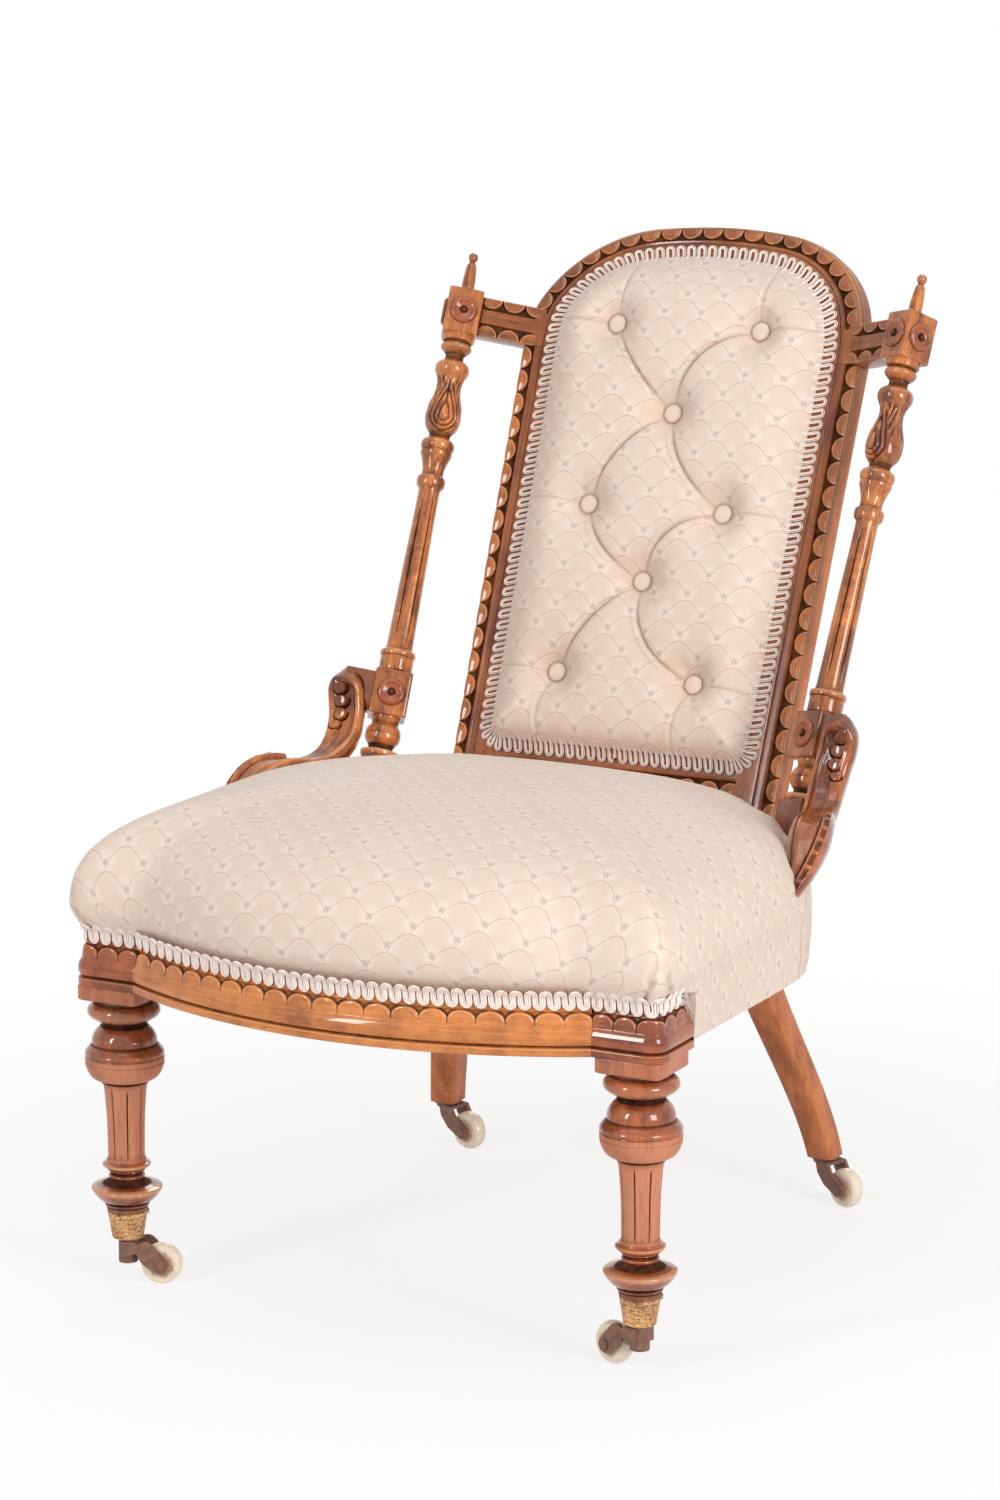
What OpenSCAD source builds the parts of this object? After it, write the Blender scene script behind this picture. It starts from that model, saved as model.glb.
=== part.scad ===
// Ladies nursing chair: carved walnut frame, buttoned back, overstuffed seat, four castors.
// Millimetres, +Z up, the sitter faces -Y, origin on the floor under the middle of the chair.

/* [Front legs and seat rails] */
// Distance between the centres of the two front legs
leg_spacing = 504; // [460:2:540]
// Distance of the front leg centres in front of the seat's middle line
leg_forward = 296; // [280:2:312]
// Width and depth of the square corner block over each front leg
block_w = 66; // [62:1:72]
// Height of the underside of the front rail over the floor
rail_bottom = 277; // [268:1:290]
// Height of the front rail, from its underside to the seat upholstery
rail_h = 48.5; // [46:0.5:56]
// Depth of the wooden rails behind their mouldings
rail_t = 26; // [22:1:30]
// How far the front rail bows forward of the corner blocks
rail_bow = 58; // [40:1:66]
// How far the carved moulding stands out from the rail
mould_d = 10; // [8:0.5:12]
// Largest radius of the turned front leg
leg_bulb_r = 35; // [32:0.5:38]
// Radius of the fluted part of the front leg at its top
leg_shaft_r = 19.5; // [17:0.5:22]
// Height of the square pad between corner block and turned leg
pad_h = 14; // [11:1:18]

/* [Castors] */
// Radius of the ceramic wheels
wheel_r = 18.7; // [17:0.1:20]
// Width of the ceramic wheels
wheel_w = 17; // [14:1:19]
// Distance from a castor's swivel axis to its wheel axle
trail = 30; // [29:0.5:33]
// Radius of the wheel axles
axle_r = 2.5; // [2:0.1:3]
// Radius of the swivel stems
stem_r = 4; // [3.5:0.1:4.5]
// Clearance of stems and axles in their holes, on the radius
run_gap = 0.06; // [0.02:0.01:0.1]
// Thickness of the iron fork cheeks
cheek_t = 3.2; // [2.5:0.1:4]
// Height of the brass cups under the front legs
cup_h = 28.5; // [26:0.5:32]
// Radius of the brass cups at their top
cup_r = 18.5; // [17:0.5:20]

/* [Back] */
// Lean of the back from the vertical
back_lean = 23.1; // [20:0.1:26]
// Length along the slope at which the arch springs from the straight sides
arch_spring = 856; // [848:1:864]
// Rise of the arch over its springing, along the slope
arch_rise = 130; // [129:1:136]
// Half the width of the back frame at the arch
back_half_w = 176; // [166:1:184]
// Radius of the arch's shoulders
shoulder_r = 126; // [116:1:126]
// How far the crest curves back at its top, as a slope from the plane of the back
crest_slope = 0.31; // [0.1:0.01:0.34]
// How much narrower each side of the frame is at the seat than at the arch
back_taper = 9; // [0:1:12]
// Width of the frame's members
frame_w = 42; // [38:1:46]
// Thickness of the frame's members
frame_t = 28; // [24:1:32]
// Width of the sabre back legs under the seat
leg_w = 37; // [32:1:40]
// Length along the slope of the underside of the back's bottom rail
back_rail_s = 428; // [424:1:440]
// Width of the back's bottom rail
back_rail_w = 36; // [32:1:42]
// Show wood between the frame's outer edge and the braid
show_w = 24; // [22:0.5:28]
// Width of the looped braid
gimp_w = 12; // [9:0.5:13]
// Thickness of the looped braid
gimp_t = 2.4; // [1.6:0.1:3]
// Height of the padding of the back over the frame's face
back_crown = 27; // [20:1:32]
// Depth of the buttoned tufts under the padding's crown
tuft_depth = 19; // [12:1:20]
// Radius of the covered buttons
button_r = 8.5; // [7:0.5:10]

/* [Side posts] */
// Distance of a post's foot from the middle of the chair
post_x = 219.5; // [215:0.5:222]
// Distance of a post's foot behind the seat's middle line
post_y = 108; // [104:1:112]
// Height of a post's foot ring over the floor
post_z = 405; // [400:1:410]
// Lean of the posts from the vertical
post_lean = 26.1; // [24.5:0.1:26.5]
// Sideways splay of the posts
post_splay = 1.9; // [1.4:0.1:2.3]
// Turn of the posts' square blocks towards the sitter
post_turn = 30; // [26:1:34]
// Width of the upper square block
top_block_w = 34; // [31:0.5:36]
// Height of the upper square block
top_block_h = 45; // [42:1:48]
// Width of the lower square block
low_block_w = 36; // [33:0.5:38]
// Height of the lower square block
low_block_h = 44; // [41:1:46]
// Radius of the carved rosettes
rosette_r = 13.5; // [11:0.5:14.5]

/* [Seat] */
// Half the width of the upholstered seat over its side rails
seat_half_w = 284; // [282:1:292]
// Distance behind the middle line at which the seat's sides turn inwards
seat_bend_y = -18; // [-30:2:-10]
// Half the width of the seat at its rear corners
seat_rear_half_w = 221; // [216:1:226]
// Distance of the seat's rear corners behind the middle line
seat_rear_y = 118; // [112:1:120]
// Thickness of the cloth and padding over the rails
cover_t = 4.2; // [3:0.1:6]
// Height of the padding's shoulder over the rails
shoulder_h = 74; // [66:1:78]
// Height of the crown over the shoulder, in the middle of the seat
crown_h = 52; // [36:1:60]
// How far the padding swells out over the rails
seat_swell = 8; // [5:0.5:10]

/* [Hidden] */
$fn = 64;

walnut = "#8a4a22";
walnut_dark = "#5a2c14";
damask = "#dccbb8";
braid = "#e9dfd2";
iron = "#4a3a34";
brass = "#a8853c";
cream = "#ece0c4";
jute = "#b59a6a";
soft_gap = 0.3;
pad_gap = 0.8;
seat_gap = 0.05;
leg_x = leg_spacing / 2;
rail_top = rail_bottom + rail_h;
side_bottom = rail_bottom + 6;
cushion_base = rail_top + soft_gap;
core_w = block_w - mould_d;
joint_x = leg_x - block_w / 2;
block_front = -leg_forward - block_w / 2 + mould_d;
block_rear = -leg_forward + block_w / 2;
bow_r = (joint_x * joint_x + rail_bow * rail_bow) / (2 * rail_bow);
bow_centre_y = block_front - rail_bow + bow_r;
back_y0 = -10;
arch_x = back_half_w - shoulder_r;
arch_h = arch_rise;
back_top = arch_spring + arch_rise;
arch_r = (arch_x * arch_x + arch_h * arch_h - shoulder_r * shoulder_r) / (2 * (arch_h - shoulder_r));
ear_h = 38;
low_block_u = 61;
top_block_u = 447;
// The ear stands level with the post's upper block, and the crest starts at or under it
ear_s = (post_y + top_block_u * sin(post_lean) - back_y0) * sin(back_lean)
    + (post_z + top_block_u * cos(post_lean) * cos(post_splay)) * cos(back_lean) - ear_h / 2;
crest_s = min(arch_spring - 10, ear_s);
foot_s = rail_bottom / cos(back_lean);
panel_inset = show_w + gimp_w;
panel_bottom = back_rail_s + 18;
panel_corner = 26;
opening_half_w = back_half_w - frame_w;
front_edge = bow_centre_y - bow_r - mould_d;
bend_s = arch_spring + 16;
rear_edge = back_y0 + back_top * sin(back_lean) + (frame_t + crest_n(back_top)) * cos(back_lean);
mid_y = (front_edge + rear_edge) / 2;
leg_foot_z = 44;
cup_top = 43 + cup_h;
castor_x = [-leg_x, leg_x, -201.5, 201.5];
castor_y = [-leg_forward, -leg_forward, 212, 212];
// Turn of each castor as it stands: front left, front right, back left, back right
castor_turns = [24, 160, -17, -24];
// Stations of the arm bracket's strip and of its leaf's lip: place, half thickness, width, turn outwards
bracket_strip = [[250.5, 103, 444, 9, 34, -2], [249.5, 90, 423, 9.5, 33, 2], [255, 64, 407, 10, 31, 6],
    [264, 38, 403, 10.5, 29, 10], [273, 10, 404, 10.5, 27, 14], [280, -18, 395, 9.5, 28, 16],
    [281, -46, 376, 7, 20, 16]];
bracket_lip = [[290, 14, 412, 8, 10, 16], [295, -12, 404, 10, 16, 16], [292, -42, 386, 9, 18, 16],
    [286, -66, 362, 3, 6, 16]];
bracket_head = [254.5, 109, 469];

// Points on an arc round [cx, cy], from angle a0 to a1 in n steps
function arc(cx, cy, r, a0, a1, n) =
    [for (i = [0:n]) let (a = a0 + (a1 - a0) * i / n) [cx + r * cos(a), cy + r * sin(a)]];

// Corner p of a path, rounded by radius r, as points on its arc
function fillet(a, p, b, r, n = 6) =
    let (u = (a - p) / norm(a - p), v = (b - p) / norm(b - p), half = acos(u * v) / 2,
        m = (u + v) / norm(u + v), c = p + m * r / sin(half), s = p + u * r / tan(half),
        e = p + v * r / tan(half),
        a0 = atan2(s.y - c.y, s.x - c.x), d = atan2(e.y - c.y, e.x - c.x) - a0,
        sweep = d > 180 ? d - 360 : d < -180 ? d + 360 : d)
    [for (i = [0:n]) c + r * [cos(a0 + sweep * i / n), sin(a0 + sweep * i / n)]];

// Corner p of a counter-clockwise path, moved in with both of its sides by d
function corner_in(a, p, b, d) = let (u = (a - p) / norm(a - p), v = (b - p) / norm(b - p),
    half = acos(u * v) / 2)
    p + (u + v) / norm(u + v) * d / sin(half);

function mirrored(p) = [for (i = [len(p) - 1:-1:0]) [-p[i].x, p[i].y]];

// Outer half width of the back frame at length s along the slope
function stile_x(s) = back_half_w - back_taper * (crest_s - s) / (crest_s - foot_s);

// Arch of the back frame moved in by d, from right to left
function arch(d) =
    let (a1 = atan2(arch_spring - (back_top - arch_r), arch_x))
    concat(arc(arch_x, arch_spring, shoulder_r - d, 0, a1, 8),
        arc(0, back_top - arch_r, arch_r - d, a1, 180 - a1, 20),
        arc(-arch_x, arch_spring, shoulder_r - d, 180 - a1, 180, 8));

// Outline of the padded panel moved in by d, counter-clockwise from its bottom right corner
function panel(d) =
    let (x = stile_x(panel_bottom) - show_w - d, b = panel_bottom + d, r = panel_corner - d)
    concat(arc(x - r, b + r, r, -90, 0, 5), arch(show_w + d), arc(r - x, b + r, r, 180, 270, 5));

// Seat plan over the rails moved in by d, on the right from the front corner block round to the back upright
function seat_side(d) =
    let (a = [seat_half_w, block_rear], b = [seat_half_w, seat_bend_y], c = [seat_rear_half_w, seat_rear_y],
        e = [opening_half_w + 14, seat_rear_y + 14], m = corner_in(a, b, c, d), k = corner_in(b, c, e, d),
        g = e - c)
    concat([[seat_half_w - d, block_rear]], fillet([seat_half_w - d, block_rear], m, k, 200 - d, 8),
        fillet(m, k, e, max(2, 24 - d), 6), [e + d * [-g.y, g.x] / norm(g)]);

// Places children in the chair's own frame, with the origin under its middle
module chair() { translate([0, -mid_y, 0]) children(); }
module back_frame() { chair() translate([0, back_y0, 0]) rotate([-back_lean, 0, 0]) children(); }
// How far the crest has curved back at length s along the slope
function crest_n(s) = s < bend_s ? 0 : s < bend_s + 26 ? crest_slope * pow(s - bend_s, 2) / 52
    : crest_slope * (s - bend_s - 13);
// Layer between depths n0 and n1 behind the face of the back, bent with the crest
module bent(n0, n1) {
    steps = concat([280, bend_s, bend_s + 7, bend_s + 13, bend_s + 19, bend_s + 26, back_top + 10]);
    intersection() {
        plate(n0 - 1, n1 + 50) children();
        rotate([90, 0, 90]) linear_extrude(700, center = true)
            polygon(concat([for (s = steps) [crest_n(s) + n0, s]],
                [for (s = reversed(steps)) [crest_n(s) + n1, s]]));
    }
}
module plate(n0, n1) { translate([0, n1, 0]) rotate([90, 0, 0]) linear_extrude(n1 - n0) children(); }
module post_frame(side) {
    chair() translate([side * post_x, post_y, post_z]) rotate([0, side * post_splay, 0])
        rotate([-post_lean, 0, 0]) rotate([0, 0, -side * post_turn]) children();
}
module square_block(w, h, c = 1.5) { translate([0, 0, -h / 2]) linear_extrude(h) octagon(w, c); }
module octagon(w, c) {
    polygon([[w / 2 - c, -w / 2], [w / 2, c - w / 2], [w / 2, w / 2 - c], [w / 2 - c, w / 2],
        [c - w / 2, w / 2], [-w / 2, w / 2 - c], [-w / 2, c - w / 2], [c - w / 2, -w / 2]]);
}

// Carved moulding's section: how far each height of it stands out from the rail
function moulding(b, t) = let (d = mould_d)
    [[b, 0], [b, d], [b + 7, d], [b + 8.5, d - 2.5], [b + 10, d - 1], [b + 14, d - 0.6], [b + 19, d - 2],
    [b + 24, d - 5.5], [b + 29, d - 8], [b + 34, 1.5], [t, 1.5], [t, 0]];
function moulding_at(r, back) = concat([[r - back, rail_bottom]],
    [for (p = moulding(rail_bottom, rail_top)) [r + p[1], p[0]]], [[r - back, rail_top]]);

// Turned front leg, as shares of its height over the cup and radii over the bulb's radius
function leg_profile(z0, z1, b, s) = let (h = z1 - z0)
    [[z0, s * 0.8], [z0 + 0.03 * h, 0.84 * s], [z0 + 0.05 * h, b * 0.8], [z0 + 0.085 * h, b * 0.89],
    [z0 + 0.12 * h, b * 0.8], [z0 + 0.145 * h, b * 0.5], [z0 + 0.165 * h, b * 0.47],
    [z0 + 0.185 * h, b * 0.6], [z0 + 0.2 * h, b * 0.62], [z0 + 0.22 * h, b * 0.5],
    [z0 + 0.235 * h, s * 0.79], [z0 + 0.54 * h, s * 0.95], [z0 + 0.58 * h, s * 1.08],
    [z0 + 0.6 * h, b * 0.72], [z0 + 0.63 * h, b * 0.88], [z0 + 0.67 * h, b * 0.98], [z0 + 0.715 * h, b],
    [z0 + 0.735 * h, b * 0.97], [z0 + 0.75 * h, b * 0.86], [z0 + 0.785 * h, b * 0.86],
    [z0 + 0.815 * h, b * 0.74], [z0 + 0.83 * h, b * 0.6], [z0 + 0.85 * h, b * 0.64],
    [z0 + 0.87 * h, b * 0.84], [z0 + 0.9 * h, b * 0.93], [z0 + 0.93 * h, b * 0.86],
    [z0 + 0.95 * h, b * 0.75], [z1, b * 0.74]];

module turned(profile) {
    rotate_extrude() polygon(concat([[0, profile[0][0]]], [for (p = profile) [p[1], p[0]]],
        [[0, profile[len(profile) - 1][0]]]));
}

module front_leg(side) color(walnut) chair() translate([side * leg_x, -leg_forward, 0]) {
    neck = rail_bottom - pad_h;
    turned(leg_profile(cup_top, neck, leg_bulb_r, leg_shaft_r));
    translate([0, 0, 43 + 9]) cylinder(h = cup_h - 9 + 1, r1 = cup_r * 0.68, r2 = cup_r * 0.8);
    translate([0, 0, neck + pad_h / 2]) square_block(block_w - 5, pad_h, 3);
    translate([-side * mould_d / 2, mould_d / 2, rail_bottom]) linear_extrude(rail_h) corner_core(side);
}
module corner_core(side) {
    r = 6;
    difference() {
        square(core_w, center = true);
        translate([side * core_w / 2, -core_w / 2]) square(2 * r, center = true);
    }
    translate([side * (core_w / 2 - r), r - core_w / 2]) circle(r);
}

// L-shaped carved moulding over the front and outer faces of a corner block
module corner_moulding(side) color(walnut) chair() {
    r = 6;
    cx = leg_x + block_w / 2 - mould_d - r;
    cy = block_front + r;
    profile = moulding_at(r + 0.01, 0);
    mirror([side < 0 ? 1 : 0, 0, 0]) translate([cx, cy, 0]) {
        rotate([0, 0, -90]) rotate_extrude(angle = 90) polygon(profile);
        translate([-cx + joint_x, 0, 0]) rotate([90, 0, 90]) linear_extrude(cx - joint_x)
            polygon([for (p = profile) [-p.x, p.y]]);
        rotate([90, 0, 0]) mirror([0, 0, 1]) linear_extrude(block_rear - cy) polygon(profile);
    }
}

module front_rail() color(walnut) chair() intersection() {
    translate([0, bow_centre_y, 0]) rotate([0, 0, -90 - 36]) rotate_extrude(angle = 72, $fn = 180)
        polygon(moulding_at(bow_r, rail_t));
    translate([-joint_x + seat_gap / 2, -600, 0]) cube([2 * joint_x - seat_gap, 600, 600]);
}

module side_rail(side) color(jute) chair() mirror([side < 0 ? 1 : 0, 0, 0]) difference() {
    translate([0, 0, side_bottom]) linear_extrude(rail_top - side_bottom)
        polygon(concat(seat_side(cover_t + seat_gap), reversed(seat_side(cover_t + rail_t))));
    upright_volume();
}
// Space in the plane of the right upright, in front of it and behind it
module upright_volume() {
    translate([0, back_y0, 0]) rotate([-back_lean, 0, 0]) plate(-90, 90)
        polygon([[opening_half_w - 1, 200], [stile_x(200) + seat_gap, 200],
            [stile_x(crest_s) + seat_gap, crest_s],
            [opening_half_w - 1, crest_s]]);
}

module upright_face(side) {
    polygon([for (p = [[opening_half_w, foot_s], [stile_x(foot_s), foot_s], [stile_x(crest_s), crest_s],
        [opening_half_w, crest_s]]) [side * p.x, p.y]]);
}

// Back seat rail: a board between the uprights that leans with them and closes the seat behind the padding
module seat_back_rail() color(walnut_dark) back_frame() plate(5, frame_t - 4)
    translate([-opening_half_w + seat_gap, foot_s]) square([2 * (opening_half_w - seat_gap),
        back_rail_s - foot_s - 12]);
function upright_front(z) = back_y0 + z * tan(back_lean);

// Sabre leg: level sections along a cubic curve from under the seat to the castor
module sabre_leg(side) {
    top = foot_s * cos(back_lean);
    p0 = [opening_half_w + leg_w / 2 + 0.2, upright_front(top) + 14 / cos(back_lean), top + 4];
    p3 = [castor_x[3], castor_y[3], leg_foot_z];
    p1 = [opening_half_w + 25, p0.y + 27, 196];
    p2 = [castor_x[3] - 10, castor_y[3] - 17, 120];
    rings = 12;
    sides = 16;
    pts = [for (i = [0:rings]) let (t = i / rings, u = 1 - t,
            c = u * u * u * p0 + 3 * u * u * t * p1 + 3 * u * t * t * p2 + t * t * t * p3,
            w = leg_w / 2 * (1 - 0.24 * t), d = leg_w / 2 * (1.05 - 0.22 * t))
        for (k = [0:sides - 1]) let (a = 360 * (k + 0.5) / sides)
            [side * (c.x + w * soft(cos(a))), c.y + d * soft(sin(a)), c.z]];
    faces = concat([[for (k = [0:sides - 1]) k]],
        [for (i = [0:rings - 1], k = [0:sides - 1]) let (a = i * sides + k, b = i * sides + (k + 1) % sides)
            each [[a, a + sides, b], [b, a + sides, b + sides]]],
        [[for (k = [sides - 1:-1:0]) rings * sides + k]]);
    polyhedron(pts, side > 0 ? [for (f = faces) [for (j = [len(f) - 1:-1:0]) f[j]]] : faces);
}
function soft(v) = sign(v) * pow(abs(v), 0.6);

module back_upright(side) color(walnut) {
    back_frame() plate(0, frame_t) upright_face(side);
    chair() sabre_leg(side);
}

module corner_braces() color(jute) chair() for (side = [-1, 1]) mirror([side < 0 ? 1 : 0, 0, 0]) {
    y0 = block_rear;
    x0 = seat_half_w - cover_t - rail_t - seat_gap;
    translate([0, 0, side_bottom + 4]) linear_extrude(rail_h - 12)
        polygon([[x0, y0 + seat_gap], [x0, y0 + 52], [x0 - 22, y0 + 52], [x0 - 34, y0 + 40],
            [x0 - 34, y0 + seat_gap]]);
}

module seat_webbing() color(jute) chair() intersection() {
    strap = 46;
    across = joint_x * 0.35;
    along = (9 - block_front) / 4;
    translate([0, 0, side_bottom - 2.4]) union() {
        for (i = [-1.5:1.5]) translate([i * across - strap / 2, -500, 1.2]) cube([strap, 700, 1.15]);
        for (i = [0:4]) translate([-seat_half_w, block_front - 3 + i * along, 0])
            cube([2 * seat_half_w, strap, 1.25]);
    }
    linear_extrude(rail_top) seat_floor(cover_t + 3);
}
// Plan inside the rails' outer faces, behind the front rail and clear of corner blocks and uprights
module seat_floor(d) {
    y_back = upright_front(side_bottom - 4) + 5 / cos(back_lean) - soft_gap;
    half = concat([[joint_x - seat_gap, block_rear + seat_gap], [seat_half_w - d, block_rear + seat_gap]],
        [for (p = seat_side(d)) if (p.x > 190 && p.y > block_rear) p],
        [[190, 86], [opening_half_w - 16, 86], [opening_half_w - 16, y_back]]);
    edge = joint_x - seat_gap;
    a = asin(edge / (bow_r - rail_t - soft_gap));
    polygon(concat(half, mirrored(half),
        arc(0, bow_centre_y, bow_r - rail_t - soft_gap, -90 - a, -90 + a, 24)));
}

module seat_springs() color(iron) chair() {
    for (p = [[-110, -230], [110, -230], [0, -120], [-110, -10], [110, -10]])
        translate([p.x, p.y, side_bottom]) spring(rail_top - side_bottom - 0.2, 34, 22, 1.6, 4);
}
// Waisted seat spring of round wire, level at both ends
module spring(h, r_end, r_mid, wire, turns) {
    steps = turns * 10;
    sides = 6;
    lift = h - 2 * wire;
    route = [for (i = [0:steps]) let (t = i / steps, a = 360 * turns * t,
            r = r_mid + (r_end - r_mid) * pow(abs(2 * t - 1), 1.6))
        [r * cos(a), r * sin(a), wire + lift * t]];
    pts = [for (i = [0:steps]) let (a = route[max(0, i - 1)], b = route[min(steps, i + 1)],
            g = (b - a) / norm(b - a), o = [route[i].x, route[i].y, 0] / norm([route[i].x, route[i].y]),
            up = cross(g, o) / norm(cross(g, o)))
        for (k = [0:sides - 1]) route[i] + wire * (cos(60 * k) * o + sin(60 * k) * up)];
    polyhedron(pts, concat([[for (k = [0:sides - 1]) k]],
        [for (i = [0:steps - 1], k = [0:sides - 1]) let (a = i * sides + k, b = i * sides + (k + 1) % sides)
            each [[a, a + sides, b], [b, a + sides, b + sides]]],
        [[for (k = [sides - 1:-1:0]) steps * sides + k]]));
}

module bottom_cloth() color(jute) chair()
    translate([0, 0, side_bottom - 3.5]) linear_extrude(1) seat_floor(cover_t + 6);

// Whole plan of the padding over the rails, counter-clockwise, as one list of points
function cushion_plan() =
    let (x = leg_x + block_w / 2 - 1, y = -leg_forward - block_w / 2 + 1, r = 14, side = seat_side(0),
        n = len(side), rear = upright_front(cushion_base) - 0.5,
        right = concat(fillet([0, y], [x, y], [x, 0], r, 5),
            [for (i = [0:3]) [seat_half_w, y + 46 + (block_rear + 150 - y) * i / 4]],
            [for (i = [1:n - 2]) side[i]], [for (i = [0:3]) [(opening_half_w + 40) * (1 - i / 3.5), rear]]),
        a = asin((joint_x - 14) / bow_r))
    concat(right, mirrored(right), arc(0, bow_centre_y, bow_r + 1, -90 - a, -90 + a, 14));

// Distance from point p to the padding's edge, leaving out its back edge
function edge_gap(p, plan) = let (n = len(plan))
    min([for (i = [0:n - 1]) let (a = plan[i], b = plan[(i + 1) % n])
    is_rear(a) && is_rear(b) ? 1000 : to_segment(p, a, b)]);
function is_rear(p) = abs(p.x) < opening_half_w + 44 && p.y > 60;
function ease(t) = let (u = max(0, min(1, t))) u * u * (3 - 2 * u);

// Overstuffed seat: rings of its plan swell over the rails, rise to the crown and fall behind
module cushion_form() {
    plan = cushion_plan();
    n = len(plan);
    mid = [0, -99];
    normals = [for (i = [0:n - 1]) let (e = plan[(i + 1) % n] - plan[(i + n - 1) % n]) is_rear(plan[i])
        ? [0, -1]
        : [-e.y, e.x] / norm(e)];
    slim = [for (p = plan) is_rear(p) ? 0 : 13 * ease((p.y + 100) / 230)];
    sides = [[0.5, 0], [-0.6 * seat_swell, 12], [-seat_swell, 26], [-0.8 * seat_swell, 41]];
    shares = [0.998, 0.97, 0.93, 0.87, 0.79, 0.68, 0.54, 0.3];
    low = [for (l = sides) [for (k = [0:n - 1]) let (d = is_rear(plan[k]) ? max(0, l[0])
        : l[0] + slim[k] * min(1, l[1] / 30),
        q = plan[k] + d * normals[k]) [q.x, q.y, l[1]]]];
    top = [for (f = shares) [for (k = [0:n - 1]) let (p = mid + f * (plan[k] - mid),
        d = min(75, edge_gap(p, plan)),
        q = p + slim[k] * max(0, min(1, (f - 0.6) / 0.4)) * normals[k])
        [q.x, q.y, shoulder_h - 20 * pow(1 - d / 75, 2.3) + crown_h * (1 - f * f * f)]]];
    rings = [for (r = concat(low, top)) [for (k = [0:n - 1]) settle(r[k], plan[k], mid)]];
    m = len(rings);
    pts = concat([for (r = rings) each r], [settle([mid.x, mid.y, shoulder_h + crown_h], plan[0], mid)]);
    polyhedron(pts, concat([[for (k = [0:n - 1]) k]],
        [for (i = [0:m - 2], k = [0:n - 1]) let (a = i * n + k, b = i * n + (k + 1) % n)
            each [[a, a + n, b], [b, a + n, b + n]]],
        [for (k = [0:n - 1]) [(m - 1) * n + k, m * n, (m - 1) * n + (k + 1) % n]]));
}
// A point of the padding lowered towards the back, and leant back with the uprights along the back edge
function settle(p, q, mid) =
    let (fall = 0.115 + 0.114 * pow(p.x / 190, 2),
        z = cushion_base + p.z * (1 - ease((p.y + 100) / 230) * fall),
        w = min(1, norm([p.x - mid.x, p.y - mid.y]) / norm(q - mid)))
    [p.x, is_rear(q) ? min(upright_front(z) - 0.5, p.y + (z - cushion_base) * tan(back_lean) * w * w * w)
        : p.y, z];

module seat_cushion() color(damask) difference() {
    chair() cushion_form();
    for (side = [-1, 1]) {
        post_frame(side) translate([0, 0, -75]) square_block(low_block_w + 2 * soft_gap, 150, 1);
        on_side(side) {
            chain(bracket_strip, 2, soft_gap);
            chain(bracket_lip, 0, soft_gap);
            bracket_tenon(soft_gap);
        }
    }
}

module seat_side_cover(side) color(damask) chair() mirror([side < 0 ? 1 : 0, 0, 0]) difference() {
    translate([0, 0, side_bottom]) linear_extrude(rail_top - side_bottom)
        polygon(concat(seat_side(0), reversed(seat_side(cover_t))));
    translate([0, block_rear - 10 + seat_gap, 0]) cube([600, 10, 600]);
    upright_volume();
}

module seat_back_cover() color(damask) back_frame() plate(frame_t - 4 + seat_gap, frame_t - 1)
    translate([-opening_half_w + 0.2, foot_s])
        square([2 * opening_half_w - 0.4, back_rail_s - foot_s - 12]);

// Looped braid along the top of the front rail and round both corner blocks
module seat_gimp() color(braid) chair() translate([0, 0, rail_top - gimp_w])
    linear_extrude(gimp_w - seat_gap) {
    d0 = 1.5 + seat_gap;
    a = asin((joint_x + 0.6) / bow_r);
    r = 6;
    cx = leg_x + block_w / 2 - mould_d - r;
    difference() {
        polygon(concat(arc(0, bow_centre_y, bow_r + d0, -90 - a, -90 + a, 60),
            arc(0, bow_centre_y, bow_r + d0 + gimp_t, -90 + a, -90 - a, 60)));
        for (side = [-1, 1]) mirror([side < 0 ? 1 : 0, 0]) translate([joint_x - seat_gap, block_front - d0])
            square(20);
    }
    for (side = [-1, 1]) mirror([side < 0 ? 1 : 0, 0]) polygon(concat([[joint_x, block_front - d0]],
        arc(cx, block_front + r, r + d0, -90, 0, 14), [[cx + r + d0, block_rear - 30]],
        [[cx + r + d0 + gimp_t, block_rear - 30]], arc(cx, block_front + r, r + d0 + gimp_t, 0, -90, 14),
        [[joint_x, block_front - d0 - gimp_t]]));
}

// Arched crest rail with an ear at each side that turns forward to the post's upper block
module crest_rail() color(walnut) difference() {
    back_frame() {
        bent(0, frame_t) polygon(concat([[back_half_w, crest_s]], arch(0), [[-back_half_w, crest_s],
            [-opening_half_w, crest_s]], reversed(arch(frame_w)), [[opening_half_w, crest_s]]));
        for (side = [-1, 1]) mirror([side < 0 ? 1 : 0, 0, 0]) translate([0, 0, ear_s])
            linear_extrude(ear_h) ear_plan();
    }
    for (side = [-1, 1]) post_frame(side) translate([0, 0, top_block_u])
        square_block(top_block_w + seat_gap, top_block_h + 30, 0.1);
}
function reversed(p) = [for (i = [len(p) - 1:-1:0]) p[i]];
module ear_plan() {
    block = back_point(post_point(top_block_u));
    d = [cos(post_turn), -sin(post_turn)];
    s = [sin(post_turn), cos(post_turn)];
    a = [back_half_w - 14, block.y + (block.x - back_half_w + 14) * tan(post_turn)];
    b = [block.x, block.y];
    polygon([a - 11 * s, b - 11 * s, b + 11 * s, a + 11 * s]);
}
// Point at length u up the right post's axis, in the chair's frame before centring
function post_point(u) = [post_x + u * cos(post_lean) * sin(post_splay), post_y + u * sin(post_lean),
    post_z + u * cos(post_lean) * cos(post_splay)];
// The same point as width, depth and length along the slope of the back
function back_point(p) = [p.x, (p.y - back_y0) * cos(back_lean) - p.z * sin(back_lean),
    (p.y - back_y0) * sin(back_lean) + p.z * cos(back_lean)];

module back_bottom_rail() color(walnut) back_frame() plate(0, frame_t)
    translate([-opening_half_w + seat_gap, back_rail_s]) square([2 * (opening_half_w - seat_gap),
        back_rail_w]);

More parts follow.
